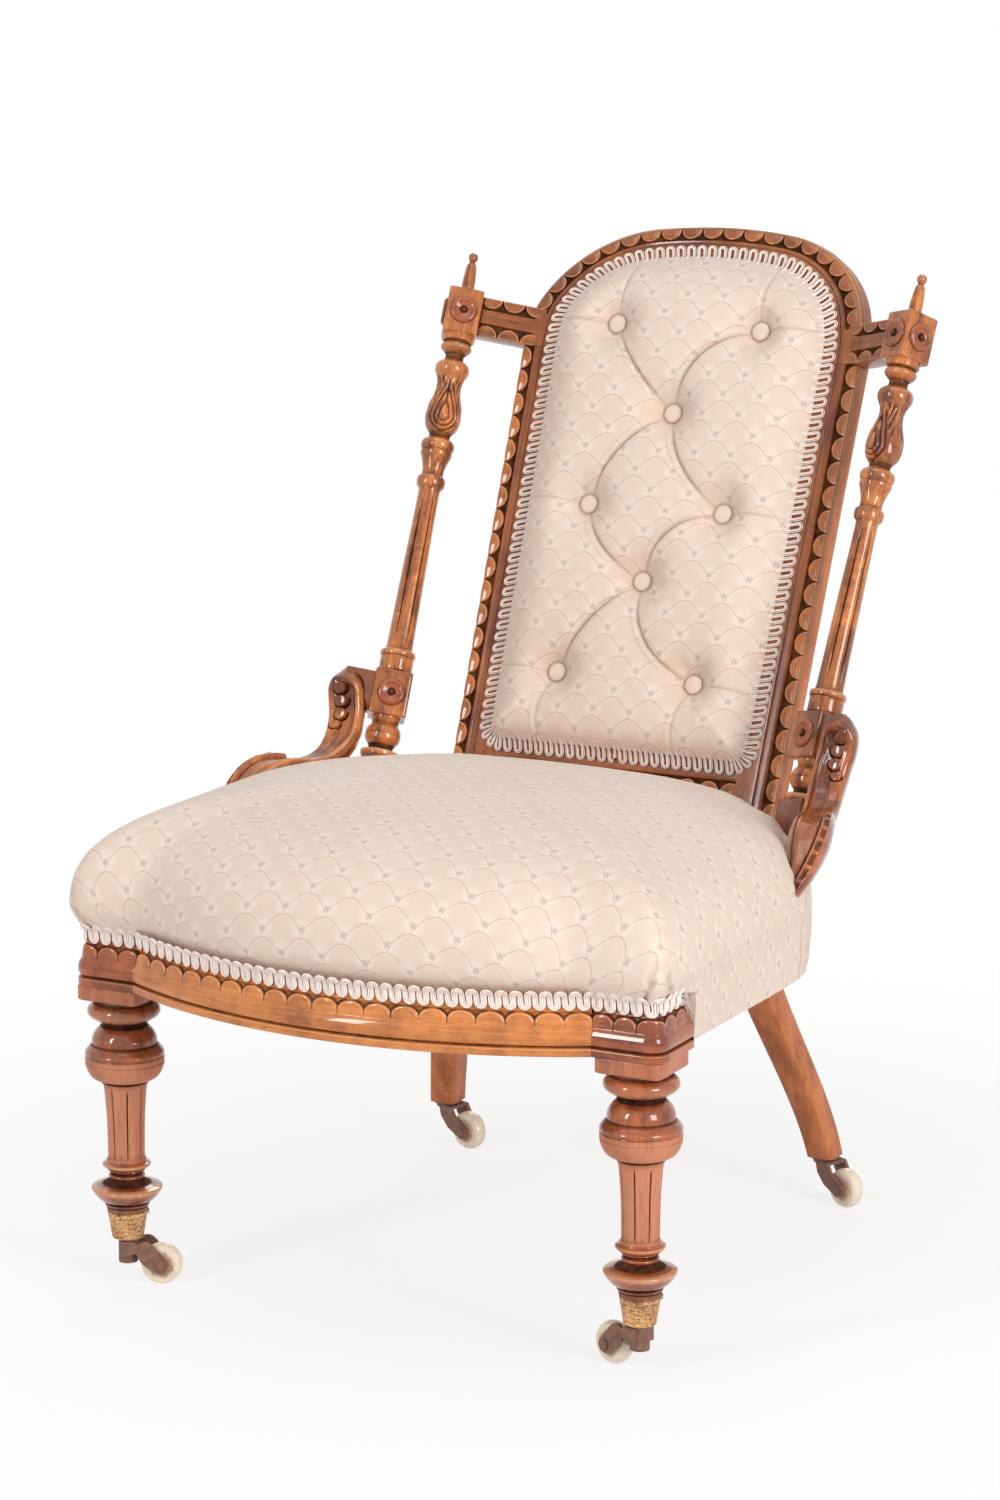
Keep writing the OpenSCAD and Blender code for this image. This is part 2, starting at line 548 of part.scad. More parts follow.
// Outline of the opening between the frame's members, moved in by d
function opening(d) = let (b = back_rail_s + back_rail_w + d, x = opening_half_w - d)
    concat([[x, b]], arch(frame_w + d), [[-x, b]]);

module back_webbing() color(jute) back_frame() bent(2, 5) polygon(opening(0.05));

module outside_back() color(damask) back_frame() bent(frame_t - 3, frame_t - 1) polygon(opening(0.05));

// Height of the padding: a rounded pillow that dips at each button and along the folds between them
function buttons() = let (w = back_half_w / 176, s = arch_spring)
    [[75 * w, s + 14], [-75 * w, s + 14], [0, s - 71], [70 * w, s - 165], [-70 * w, s - 165], [0, s - 236],
    [71 * w, s - 330], [-71 * w, s - 330]];
function folds() = let (b = buttons(), edge = 0.85 * back_half_w, top = arch_spring + 104)
    [[b[0], b[2]], [b[1], b[2]], [b[2], b[3]], [b[2], b[4]], [b[3], b[5]], [b[4], b[5]], [b[5], b[6]],
    [b[5], b[7]], [b[0], [b[0].x, top]], [b[1], [b[1].x, top]], [b[0], [edge, b[0].y]],
    [b[1], [-edge, b[1].y]], [b[3], [edge, b[3].y]], [b[4], [-edge, b[4].y]], [b[6], [edge, b[6].y]],
    [b[7], [-edge, b[7].y]], [b[6], [b[6].x, panel_bottom - 6]], [b[7], [b[7].x, panel_bottom - 6]]];
function to_segment(p, a, b) = let (t = max(0, min(1, (p - a) * (b - a) / ((b - a) * (b - a)))))
    norm(p - a - t * (b - a));
function padding(p) = let (fold = min([for (f = folds()) to_segment(p, f[0], f[1])]),
        button = min([for (b = buttons()) norm(p - b)]))
    back_crown - 0.3 * tuft_depth * exp(-fold / 9) - 0.7 * tuft_depth * exp(-pow(button / 24, 2));

// Steps 0 to 1, closer together towards both ends
function spread(t) = 0.55 * t + 0.45 * (0.5 - 0.5 * cos(180 * t));
// Top and bottom of the padding at half width x, and its surface point at shares (u, v) of width and height
function pad_top(x, d) = let (a1 = atan2(arch_spring - (back_top - arch_r), arch_x), r = arch_r - d)
    x < r * cos(a1) ? back_top - arch_r + sqrt(r * r - x * x)
    : arch_spring + sqrt(max(0, pow(shoulder_r - d, 2) - pow(x - arch_x, 2)));
function pad_low(x, half) = let (r = panel_corner - 10)
    panel_bottom + gimp_w + pad_gap + (x < half - r ? 0 : r - sqrt(max(0, r * r - pow(x - half + r, 2))));
function pad_point(u, v) = let (d = panel_inset + pad_gap, half = back_half_w - d,
    x = half * (2 * spread(u) - 1),
        lo = pad_low(abs(x), half), hi = pad_top(abs(x), d), s = lo + (hi - lo) * spread(v),
        w = (stile_x(min(s, crest_s)) - d) / half, rim = min(half - abs(x), s - lo, hi - s),
        rise = sqrt(1 - pow(1 - min(1, rim / 34), 2)))
    [x * w, crest_n(s) - 3 - (padding([x * w, s]) - 3) * rise, s];

module back_cushion() color(damask) back_frame() difference() {
    back_pad();
    for (b = buttons()) translate([b.x, soft_gap - back_crown + tuft_depth, b.y]) rotate([90, 0, 0])
        cylinder(h = 30, r = button_r + soft_gap, $fn = 20);
    bent(-soft_gap, 90) translate([-300, 300]) square([600, 750]);
}
module back_pad() {
    nx = 20;
    ny = 40;
    grid = [for (i = [0:nx], j = [0:ny]) pad_point(i / nx, j / ny)];
    n = (nx + 1) * (ny + 1);
    ring = concat([for (j = [0:ny]) j], [for (i = [1:nx]) i * (ny + 1) + ny],
        [for (j = [ny - 1:-1:0]) nx * (ny + 1) + j],
        [for (i = [nx - 1:-1:1]) i * (ny + 1)]);
    m = len(ring);
    pts = concat(grid, [for (k = ring) [grid[k].x, 60, grid[k].z]]);
    polyhedron(pts, concat(
        [for (i = [0:nx - 1], j = [0:ny - 1]) let (a = i * (ny + 1) + j, b = a + ny + 1)
            each [[a, a + 1, b], [b, a + 1, b + 1]]],
        [for (k = [0:m - 1]) let (a = ring[k], b = ring[(k + 1) % m], c = n + k, d = n + (k + 1) % m)
            each [[a, c, b], [b, c, d]]],
        [[for (k = [m - 1:-1:0]) n + k]]));
}

module back_buttons() color(damask) back_frame() for (b = buttons()) {
    seat = back_crown - tuft_depth;
    translate([b.x, -seat, b.y]) rotate([90, 0, 0]) {
        cylinder(h = 2, r = button_r);
        translate([0, 0, 2]) cylinder(h = 2, r1 = button_r, r2 = button_r * 0.7);
    }
}

module back_gimp() color(braid) back_frame() bent(-gimp_t, -seat_gap) difference() {
    polygon(panel(0));
    polygon(panel(gimp_w));
}

// Turned side post: foot block, ball, lower block, fluted shaft, vase and upper block, on one axis
function post_profile() = let (b = low_block_w / 36, lo = low_block_u, t = top_block_u)
    [[0, 18.5 * b], [5, 18.5 * b], [7, 13 * b], [10, 11.5 * b], [12, 13.5 * b], [17, 16.5 * b], [22, 17 * b],
    [27, 16.3 * b], [32, 13.2 * b], [34, 13.5 * b], [lo - low_block_h / 2, 13.5 * b],
    [lo + low_block_h / 2, 16 * b], [98, 16 * b], [99, 16.8 * b], [104, 16.8 * b], [106, 13 * b],
    [110, 12.7 * b], [270, 10.2 * b], [271, 13 * b], [275, 13.8 * b], [280, 13 * b], [282, 10.2 * b],
    [290, 11 * b], [298, 13.6 * b], [304, 15.2 * b], [306, 14 * b], [308, 15.5 * b], [312, 16.2 * b],
    [316, 15 * b], [319, 10.5 * b], [323, 10 * b], [327, 13 * b], [333, 16.4 * b], [341, 17.5 * b],
    [350, 16.6 * b], [362, 13 * b], [374, 11.6 * b], [381, 13 * b], [386, 15.6 * b], [390, 16.6 * b],
    [395, 15.6 * b], [398, 12 * b], [400, 9 * b], [405, 8.6 * b], [407, 12 * b], [411, 15 * b],
    [415, 15.2 * b], [418, 13 * b], [419, 15.8 * b], [t - top_block_h / 2, 15.8 * b]];

module post(side) color(walnut) {
    post_frame(side) {
        turned(post_profile());
        translate([0, 0, low_block_u]) square_block(low_block_w, low_block_h);
        translate([0, 0, top_block_u]) square_block(top_block_w, top_block_h);
    }
    intersection() {
        post_frame(side) translate([0, 0, -75]) square_block(low_block_w, 150);
        translate([side > 0 ? 0 : -600, -600, rail_top]) cube([600, 1200, 600]);
    }
}

module finial(side) color(walnut) post_frame(side) translate([0, 0, top_block_u + top_block_h / 2])
    turned([[0, 7], [2, 6.6], [3, 5.3], [10, 5.4], [22, 4.5], [28, 3.4], [31, 2.9], [32.6, 3.1],
        [34.2, 4.2], [36.7, 4.6],
        [39, 4], [40.4, 2.4], [41, 0.8]]);

// Carved roundels on the square blocks: front and outer face above, front face below
module rosette() {
    rotate([90, 0, 0]) turned([[0.02, rosette_r], [1.2, rosette_r], [3, rosette_r * 0.8],
        [3.4, rosette_r * 0.5],
        [2, rosette_r * 0.3], [2, rosette_r * 0.16], [3.2, rosette_r * 0.1], [3.4, 0.2]]);
}
module rosettes(side) color(walnut_dark) post_frame(side) {
    translate([0, -top_block_w / 2, top_block_u]) rosette();
    translate([side * top_block_w / 2, 0, top_block_u]) rotate([0, 0, side * 90]) rosette();
    translate([0, -low_block_w / 2, low_block_u]) rosette();
}

// Scrolled arm bracket on the right: a strip that hangs from a round head, sweeps forward and ends in a leaf
module station(p, grow) {
    translate([p[0], p[1], p[2]]) rotate([0, 0, p[5]]) rotate([0, 90, 0])
        cylinder(h = p[4] + 2 * grow, r = p[3] + grow, center = true, $fn = grow > 0 ? 16 : 28);
}
module chain(line, first, grow) {
    for (i = [first:len(line) - 2]) hull() {
        station(line[i], grow);
        station(line[i + 1], grow);
    }
}
module head(grow) hull() {
    station(bracket_strip[0], grow);
    translate(bracket_head) rotate([90 - 8, 0, -4]) cylinder(h = 16 + 2 * grow, r = 17.5 + grow,
        center = true, $fn = 40);
}
// The right side as drawn, the left one as its mirror image
module on_side(side) { chair() mirror([side < 0 ? 1 : 0, 0, 0]) children(); }

module arm_bracket(side) color(walnut) on_side(side) {
    head(0);
    chain(bracket_strip, 0, 0);
    chain(bracket_lip, 0, 0);
    bracket_tenon(0);
}
// Tenon that carries the bracket's foot down through the padding to the side rail
module bracket_tenon(grow) {
    x1 = seat_half_w - cover_t - 3;
    low = rail_top - 5 * grow;
    translate([0, -8 + grow, 0]) rotate([90, 0, 0]) linear_extrude(22 + 2 * grow)
        polygon([[x1 - 16 - grow, low], [x1 + grow, low], [288 + grow, 385], [272 - grow, 388]]);
}

// Block that fills the wedge between the post's lower block and the bracket's head
module wedge_block(side) color(walnut_dark) difference() {
    intersection() {
        post_frame(side) mirror([side < 0 ? 1 : 0, 0, 0])
            translate([low_block_w / 2 + seat_gap / 2, 4 - 18, low_block_u - 20]) cube([40, 18, 38]);
        on_side(side) translate([200, bracket_head.y, 300]) cube([bracket_head.x - 200, 100, 300]);
    }
    on_side(side) head(seat_gap);
}

// Brass cup round the foot of a front leg, bored for the swivel stem
module castor_cup(i) color(brass) chair() translate([castor_x[i], castor_y[i], 43]) difference() {
    cylinder(h = cup_h, r1 = cup_r * 0.75, r2 = cup_r);
    translate([0, 0, 9]) cylinder(h = cup_h, r1 = cup_r * 0.68 + 0.05,
        r2 = cup_r * 0.8 + (cup_r * 0.12) * 9 / (cup_h - 8) + 0.05);
    translate([0, 0, -1]) cylinder(h = 8, r = stem_r + run_gap);
}

// Iron plate under a back leg with the rivet on which its fork turns
module castor_plate(i) color(iron) chair() translate([castor_x[i], castor_y[i], 0]) {
    translate([0, 0, leg_foot_z - 2.5]) cylinder(h = 2.5, r = 13);
    translate([0, 0, leg_foot_z - 8.6]) cylinder(h = 7, r = stem_r);
    translate([0, 0, leg_foot_z - 9.6]) cylinder(h = 2, r = stem_r + 2.2);
}

module castor_screws() color(brass) chair() for (i = [0, 1], a = [35, 155, 275])
    translate([castor_x[i], castor_y[i], 43 + cup_h - 6]) rotate([0, 0, a]) translate([cup_r - 0.9, 0, 0])
        rotate([0, 90, 0]) cylinder(h = 1.6, r = 2.4);

module castor_frame(i) { chair() translate([castor_x[i], castor_y[i], 0]) rotate([0, 0, castor_turns[i]])
    children(); }

// Horn fork of a front castor: stem, round boss and two cheeks that sweep down to the axle
module castor_fork_front(i) color(iron) castor_frame(i) difference() {
    inner = wheel_w / 2 + 0.8;
    union() {
        translate([0, 0, 30]) cylinder(h = 43 + 6 - 30, r = stem_r);
        translate([0, 0, 20]) cylinder(h = 22.4, r = 8.5);
        for (s = [-1, 1]) translate([0, s * (inner + cheek_t / 2), 0]) cheek(34, 8);
        translate([-4, -inner - 1, 26]) cube([8, 2 * inner + 2, 15.4]);
    }
    translate([trail, 0, wheel_r]) rotate([90, 0, 0]) cylinder(h = 60, r = axle_r + run_gap, center = true);
    translate([trail, 0, wheel_r]) rotate([90, 0, 0]) cylinder(h = 2 * inner, r = wheel_r + 1,
        center = true);
}
// One cheek: a curved plate from the boss over to the round eye at the axle
module cheek(z, r) {
    rotate([90, 0, 0]) linear_extrude(cheek_t, center = true) {
        translate([trail, wheel_r]) circle(7);
        polygon(concat([[-4, z + 7], [6, z + 7]], arc(16, z - 2, 9, 130, 50, 5),
            [[trail + 4.5, wheel_r + 5.4],
            [trail - 5, wheel_r - 5]], arc(trail - 2, z, z - wheel_r + 4, 245, 190, 5), [[-4, z - 8]]));
    }
}

module castor_fork_back(i) color(iron) castor_frame(i) difference() {
    inner = wheel_w / 2 + 0.8;
    top = leg_foot_z - 2.9;
    union() {
        translate([0, 0, top - 2.8]) cylinder(h = 2.8, r = 11);
        translate([0, -inner - cheek_t, top - 2.8]) cube([16, 2 * (inner + cheek_t), 2.8]);
        for (s = [-1, 1]) translate([0, s * (inner + cheek_t / 2), 0]) rotate([90, 0, 0])
            linear_extrude(cheek_t, center = true) {
            translate([trail, wheel_r]) circle(7);
            polygon([[0, top], [16, top], [21, wheel_r + 14], [trail + 5.5, wheel_r + 4.4],
                [trail - 5, wheel_r - 5], [12, 20], [3, 30]]);
        }
    }
    translate([0, 0, 20]) cylinder(h = 40, r = stem_r + run_gap);
    translate([trail, 0, wheel_r]) rotate([90, 0, 0]) cylinder(h = 60, r = axle_r + run_gap, center = true);
}

module castor_axle(i) color(iron) castor_frame(i) translate([trail, 0, wheel_r]) rotate([90, 0, 0]) {
    half = wheel_w / 2 + 0.8 + cheek_t;
    cylinder(h = 2 * half + 0.4, r = axle_r, center = true);
    for (s = [-1, 1]) translate([0, 0, s * (half + 0.7)]) cylinder(h = 1.2, r = axle_r + 1.8,
        center = true);
}

module castor_wheel(i) color(cream) castor_frame(i) translate([trail, 0, wheel_r]) rotate([90, 0, 0]) {
    h = wheel_w / 2;
    rotate_extrude() polygon(concat([[axle_r + run_gap, -h], [7, -h], [11, 1.5 - h]],
        [for (a = [-60:15:60]) [wheel_r - 5.5 + 5.5 * cos(a) , (h - 1.8) * sin(a) / sin(60)]],
        [[11, h - 1.5], [7, h], [axle_r + run_gap, h]]));
}

front_leg(-1);  // front_leg_left
front_leg(1);  // front_leg_right
corner_moulding(-1);  // corner_moulding_left
corner_moulding(1);  // corner_moulding_right
front_rail();
side_rail(-1);  // side_rail_left
side_rail(1);  // side_rail_right
seat_back_rail();
back_upright(-1);  // back_upright_left
back_upright(1);  // back_upright_right
corner_braces();
seat_webbing();
seat_springs();
bottom_cloth();
seat_cushion();
seat_side_cover(-1);  // seat_side_cover_left
seat_side_cover(1);  // seat_side_cover_right
seat_back_cover();
seat_gimp();
crest_rail();
back_bottom_rail();
back_webbing();
back_cushion();
back_buttons();
back_gimp();
outside_back();
post(-1);  // post_left
post(1);  // post_right
finial(-1);  // finial_left
finial(1);  // finial_right
rosettes(-1);  // rosettes_left
rosettes(1);  // rosettes_right
wedge_block(-1);  // wedge_block_left
wedge_block(1);  // wedge_block_right
arm_bracket(-1);  // arm_bracket_left
arm_bracket(1);  // arm_bracket_right
castor_cup(0);  // castor_cup_front_left
castor_cup(1);  // castor_cup_front_right
castor_plate(2);  // castor_plate_back_left
castor_plate(3);  // castor_plate_back_right
castor_screws();
castor_fork_front(0);  // castor_fork_front_left
castor_fork_front(1);  // castor_fork_front_right
castor_fork_back(2);  // castor_fork_back_left
castor_fork_back(3);  // castor_fork_back_right
castor_axle(0);  // castor_axle_front_left
castor_axle(1);  // castor_axle_front_right
castor_axle(2);  // castor_axle_back_left
castor_axle(3);  // castor_axle_back_right
castor_wheel(0);  // castor_wheel_front_left
castor_wheel(1);  // castor_wheel_front_right
castor_wheel(2);  // castor_wheel_back_left
castor_wheel(3);  // castor_wheel_back_right
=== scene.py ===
# Ladies chair: carved walnut frame, buttoned back, overstuffed seat and four castors.
# Shapes are worked out in millimetres in the chair's own frame, as in the part's source, and put into
# the scene in metres with the floor's origin under the middle of the chair.
import math
import bpy
import numpy as np
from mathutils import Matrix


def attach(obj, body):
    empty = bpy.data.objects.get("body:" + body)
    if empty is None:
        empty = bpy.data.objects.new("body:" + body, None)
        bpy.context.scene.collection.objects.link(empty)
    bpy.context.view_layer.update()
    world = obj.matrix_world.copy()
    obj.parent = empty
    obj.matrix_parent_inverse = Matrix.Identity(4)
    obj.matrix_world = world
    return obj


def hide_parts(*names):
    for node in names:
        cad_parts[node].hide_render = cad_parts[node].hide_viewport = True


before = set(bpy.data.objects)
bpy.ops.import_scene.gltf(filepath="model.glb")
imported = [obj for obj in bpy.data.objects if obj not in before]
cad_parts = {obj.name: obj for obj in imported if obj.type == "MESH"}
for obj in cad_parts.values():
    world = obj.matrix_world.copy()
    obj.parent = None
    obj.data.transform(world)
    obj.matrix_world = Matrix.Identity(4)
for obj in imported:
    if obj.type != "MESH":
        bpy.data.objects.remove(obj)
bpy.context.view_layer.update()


# Stand and light
# The chair was photographed on a plain white ground by soft studio light, from its right front and
# a little above the seat. The camera stands where the fitted view of the photograph puts it.

scene = bpy.context.scene


def put_in(name, data):
    """A new object in the scene."""
    made = bpy.data.objects.new(name, data)
    scene.collection.objects.link(made)
    return made


camera = put_in("camera", bpy.data.cameras.new("camera"))
camera.location = (1.7391, -3.4333, 1.2474)
camera.rotation_euler = (math.radians(78.28), 0, math.radians(27.46))
camera.data.lens = 104.04
camera.data.sensor_width = 36
scene.camera = camera
scene.view_settings.view_transform = "Standard"


class Wire:
    """A socket of a material's node tree. A sum on wires adds its Math nodes."""

    def __init__(self, tree, socket=None):
        self.tree, self.socket = tree, socket

    def node(self, kind, settings=None, inputs=None, out=0):
        """Adds a node with its settings and inputs, and gives the wire from one of its outputs."""
        made = self.tree.nodes.new(kind)
        for key, value in (settings or {}).items():
            setattr(made, key, value)
        for key, value in (inputs or {}).items():
            if isinstance(value, Wire):
                self.tree.links.new(value.socket, made.inputs[key])
            else:
                made.inputs[key].default_value = value
        return Wire(self.tree, made.outputs[out])

    def math(self, operation, *others):
        """A Math node on this wire and the others."""
        return self.node("ShaderNodeMath", {"operation": operation}, dict(enumerate((self, *others))))

    def __add__(self, other):
        return self.math("ADD", other)

    def __sub__(self, other):
        return self.math("SUBTRACT", other)

    def __rsub__(self, other):
        return (self * -1.0) + other

    def __mul__(self, other):
        return self.math("MULTIPLY", other)

    def __truediv__(self, other):
        return self.math("DIVIDE", other)

    def __pow__(self, other):
        return self.math("POWER", other)

    __radd__, __rmul__ = __add__, __mul__

    def between(self, low, high):
        """0 below low, 1 above high, and a smooth step from one to the other."""
        return self.node("ShaderNodeMapRange", {"interpolation_type": "SMOOTHSTEP"},
                         {"Value": self, "From Min": low, "From Max": high})

    def wave(self, rate):
        """A sine of the wire times the rate, from 0 to 1."""
        return (self * rate).math("SINE") * 0.5 + 0.5

    def noise(self, scale, detail=3.0, rough=0.55):
        """Noise at the place that this wire gives."""
        return self.node("ShaderNodeTexNoise", None,
                         {"Vector": self, "Scale": scale, "Detail": detail, "Roughness": rough})

    def stretched(self, *sizes):
        """This place with each of its directions multiplied by one of the sizes."""
        return self.node("ShaderNodeVectorMath", {"operation": "MULTIPLY"}, {0: self, 1: sizes})

    def axis(self, number):
        """The first, second or third number of this place."""
        return self.node("ShaderNodeSeparateXYZ", None, {0: self}, out=number)

    def mark(self, name, out=2):
        """A value kept in the mesh: out 1 is a vector, out 2 a number."""
        return self.node("ShaderNodeAttribute", {"attribute_name": name}, out=out)

    def place(self):
        """Place in the object, in metres."""
        return self.node("ShaderNodeTexCoord", out=3)

    def put_out(self, kind="ShaderNodeOutputMaterial"):
        """Joins this shader to the output of its material or world."""
        self.tree.links.new(self.socket, self.tree.nodes.new(kind).inputs["Surface"])


def finish(name):
    """An empty material, as the wire on which its nodes are made."""
    material = bpy.data.materials.new(name)
    material.use_nodes = True
    material.node_tree.nodes.clear()
    wire = Wire(material.node_tree)
    wire.material = material
    return wire


def layered(base, *coats):
    """A colour with others laid over it in turn, each by its own share."""
    for colour, share in coats:
        below = base if isinstance(base, Wire) else (*base, 1)
        base = share.node("ShaderNodeMix", {"data_type": "RGBA"},
                          {0: share, 6: below, 7: (*colour, 1)}, out=2)
    return base


def coat(wire, colour, roughness, bump, depth, **constants):
    """Ends a material: a Principled shader with this colour, roughness and bump, and constant sockets."""
    normal = wire.node("ShaderNodeBump", None, {"Height": bump, "Distance": depth, "Strength": 1.0})
    inputs = {"Base Color": colour, "Roughness": roughness, **constants, "Normal": normal}
    wire.node("ShaderNodeBsdfPrincipled", None, inputs).put_out()
    return wire.material


def seen_directly(wire):
    """1 for rays that come straight from the camera, from a mirror-like surface or through glass."""
    kinds = wire.tree.nodes.new("ShaderNodeLightPath").outputs
    camera_ray, mirrored, through = (Wire(wire.tree, kinds[kind]) for kind in
                                     ("Is Camera Ray", "Is Glossy Ray", "Is Transmission Ray"))
    return camera_ray + mirrored + through


FLOOR_REACH = 9
floor_mesh = bpy.data.meshes.new("floor")
floor_mesh.from_pydata([(-FLOOR_REACH, -FLOOR_REACH, 0), (FLOOR_REACH, -FLOOR_REACH, 0),
                        (FLOOR_REACH, FLOOR_REACH, 0), (-FLOOR_REACH, FLOOR_REACH, 0)], [], [(0, 1, 2, 3)])
floor = put_in("floor", floor_mesh)
pale = finish("pale_floor")
away = pale.node("ShaderNodeVectorMath", {"operation": "LENGTH"}, {0: pale.place()}, out=1)
lit = pale.node("ShaderNodeBsdfDiffuse", None, {"Color": (0.86, 0.85, 0.84, 1)})
white = pale.node("ShaderNodeEmission", None, {"Color": (1, 1, 1, 1), "Strength": 1.0})
share = seen_directly(pale) * (away.between(0.25, 1.1) * 0.22 + 0.78)
pale.node("ShaderNodeMixShader", None, {0: share, 1: lit, 2: white}).put_out()
floor_mesh.materials.append(pale.material)

# Strength of the white air on the chair; what the camera sees of it is full white.
AIR = 0.4
scene.world = bpy.data.worlds.new("studio")
scene.world.use_nodes = True
scene.world.node_tree.nodes.clear()
sky = Wire(scene.world.node_tree)
strength = seen_directly(sky) * (1 - AIR) + AIR
air = sky.node("ShaderNodeBackground", None, {"Color": (1, 1, 1, 1), "Strength": strength})
air.put_out("ShaderNodeOutputWorld")

# Name, place, width and height, watts: two soft boxes on either side of the camera, a broad one overhead and
# one behind that lifts the outline. All point at the middle of the chair.
LAMPS = (("left_box", (-1.15, -2.9, 1.75), (0.42, 1.5), 38),
         ("right_box", (2.8, -1.25, 1.45), (1.0, 1.6), 62),
         ("overhead", (0.1, -0.3, 3.1), (1.6, 1.6), 15),
         ("rear", (-0.9, 2.9, 2.2), (1.2, 0.9), 15))
for name, spot, size, watts in LAMPS:
    lamp = put_in(name, bpy.data.lights.new(name, "AREA"))
    lamp.data.shape = "RECTANGLE"
    lamp.data.size, lamp.data.size_y = size
    lamp.data.energy = watts
    lamp.location = spot
    aim = np.array([0, 0, 0.45]) - np.array(spot)
    lamp.rotation_euler = (math.pi / 2 + math.atan2(aim[2], math.hypot(aim[0], aim[1])), 0,
                           math.atan2(aim[1], aim[0]) - math.pi / 2)


# Front legs
# Turned walnut legs with a fluted shaft, a barrel-shaped bulb and a broad foot ring, under a square
# pad; each was turned in one piece with the square corner block that the rails are tenoned into.

MIDDLE = 22.1995  # the chair's depth is centred this far behind the middle line of the source's sizes
LEG_X, LEG_Y, BLOCK, RAIL_BOTTOM, RAIL_TOP = 252.0, -296.0, 66.0, 277.0, 325.5
SIDES = ((-1, "left"), (1, "right"))


def limit(x):
    """The value kept between 0 and 1."""
    return np.clip(x, 0, 1)


def smooth(t):
    """0 below 0, 1 above 1, and a smooth step between them."""
    t = limit(t)
    return t * t * (3 - 2 * t)


def hill(x, middle, wide):
    """Bell curve that is 1 at the middle and 1/e at the distance wide from it."""
    return np.exp(-((x - middle) / wide) ** 2)


def join(*parts, axis=0):
    """Arrays one after another."""
    return np.concatenate(parts, axis)


def pack(*values):
    """Points from their separate numbers, each stretched to the same shape first."""
    return np.stack(np.broadcast_arrays(*values), -1)


def unit(ways, least=1e-6):
    """Directions brought to a length of 1; those shorter than the least are divided by it."""
    return ways / np.maximum(np.linalg.norm(ways, axis=-1, keepdims=True), least)


def circle(count):
    """Even angles once round."""
    return np.linspace(0, 2 * math.pi, count, endpoint=False)


def quarter(count):
    """Angles over a quarter turn, both ends with them."""
    return np.linspace(0, math.pi / 2, count)


def squared(value, power):
    """A sine or cosine flattened by a power, which turns a circle into a rounded square."""
    return np.sign(value) * np.abs(value) ** power


def cubic(start, end, first, last, t):
    """Values from start to end with these slopes at both ends, over t from 0 to 1."""
    return (start * (2 * t**3 - 3 * t**2 + 1) + first * (t**3 - 2 * t**2 + t)
            + end * (3 * t**2 - 2 * t**3) + last * (t**3 - t**2))


def turned_line(points, per):
    """Smooth line through points of height and radius, with some steps between each pair: on each stretch the
    radius is a cubic whose end slopes are the harmonic mean of the slopes on both sides, and nought at a
    ring's crest or in a cove."""
    z, r = np.array(points, float).T
    h = np.diff(z)
    d = np.diff(r) / h
    slope = join([d[0]], np.zeros(len(d) - 1), [d[-1]])
    same = d[:-1] * d[1:] > 0
    slope[1:-1][same] = (2 * d[:-1] * d[1:] / np.where(same, d[:-1] + d[1:], 1))[same]
    t = np.arange(per) / per
    h = h[:, None]
    radii = cubic(r[:-1, None], r[1:, None], slope[:-1, None] * h, slope[1:, None] * h, t)
    return np.append((z[:-1, None] + h * t).ravel(), z[-1]), np.append(radii.ravel(), r[-1])


def cove(z, r, reach=5.0, deep=3.0):
    """Shares of dirt with painted shade, and of wear, in a turning: how far the radius lies under and over
    its own average over the reach."""
    weight = np.exp(-(np.abs(z[:, None] - z) / reach) ** 2) * np.gradient(z)
    mean = (weight * r).sum(1) / weight.sum(1)
    return limit((mean - r) / deep), limit((r - mean) / deep)


def grid(points, ring=True, ends="both", **marks):
    """Surface through rows and columns of points. ring joins the last column to the first; ends closes the
    first and last row, or the last alone, with a fan round the row's middle, or leaves both open. Marks are
    values for each point."""
    rows, columns = points.shape[:2]
    number = np.arange(rows * columns).reshape(rows, columns)
    right = np.roll(number, -1, 1)
    if not ring:
        number, right = number[:, :-1], right[:, :-1]
    quads = np.stack([number[:-1], right[:-1], right[1:], number[1:]], -1).reshape(-1, 4)
    flat = points.reshape(-1, 3)
    kept = {key: np.broadcast_to(value, points.shape[:2] + np.shape(value)[2:]).reshape(len(flat), -1)
            for key, value in marks.items()}
    tris = np.zeros((0, 3), int)
    for row, way in {"both": ((0, 1), (rows - 1, -1)), "last": ((rows - 1, -1),), "open": ()}[ends]:
        line = row * columns + np.arange(columns)
        fan = pack(line, np.roll(line, -1), len(flat))
        tris = join(tris, fan[:, ::-way])
        flat = join(flat, flat[line].mean(0, keepdims=True))
        kept = {key: join(value, value[line].mean(0, keepdims=True)) for key, value in kept.items()}
    return {"points": flat, "quads": quads, "tris": tris, "marks": kept}


def moved(part, turn=None, move=(0, 0, 0), mirror=False):
    """The part turned by a matrix, moved, and mirrored across the chair's middle plane."""
    points = part["points"] @ (np.eye(3) if turn is None else turn).T + np.array(move, float)
    return {**part, "points": points * np.array([-1 if mirror else 1, 1, 1])}


def turn_about(axis, degrees):
    """Matrix of a turn about one of the axes."""
    c, s = math.cos(math.radians(degrees)), math.sin(math.radians(degrees))
    return np.array({"x": [[1, 0, 0], [0, c, -s], [0, s, c]], "y": [[c, 0, s], [0, 1, 0], [-s, 0, c]],
                     "z": [[c, -s, 0], [s, c, 0], [0, 0, 1]]}[axis])


def outwards(part):
    """The part with its faces turned so that the volume they enclose is positive."""
    quads, tris = part["quads"], part["tris"]
    a, b, c = (part["points"][corner] for corner in join(tris, quads[:, [0, 1, 2]], quads[:, [0, 2, 3]]).T)
    if np.einsum("ij,ij->i", a, np.cross(b, c)).sum() < 0:
        return {**part, "quads": quads[:, ::-1], "tris": tris[:, ::-1]}
    return part


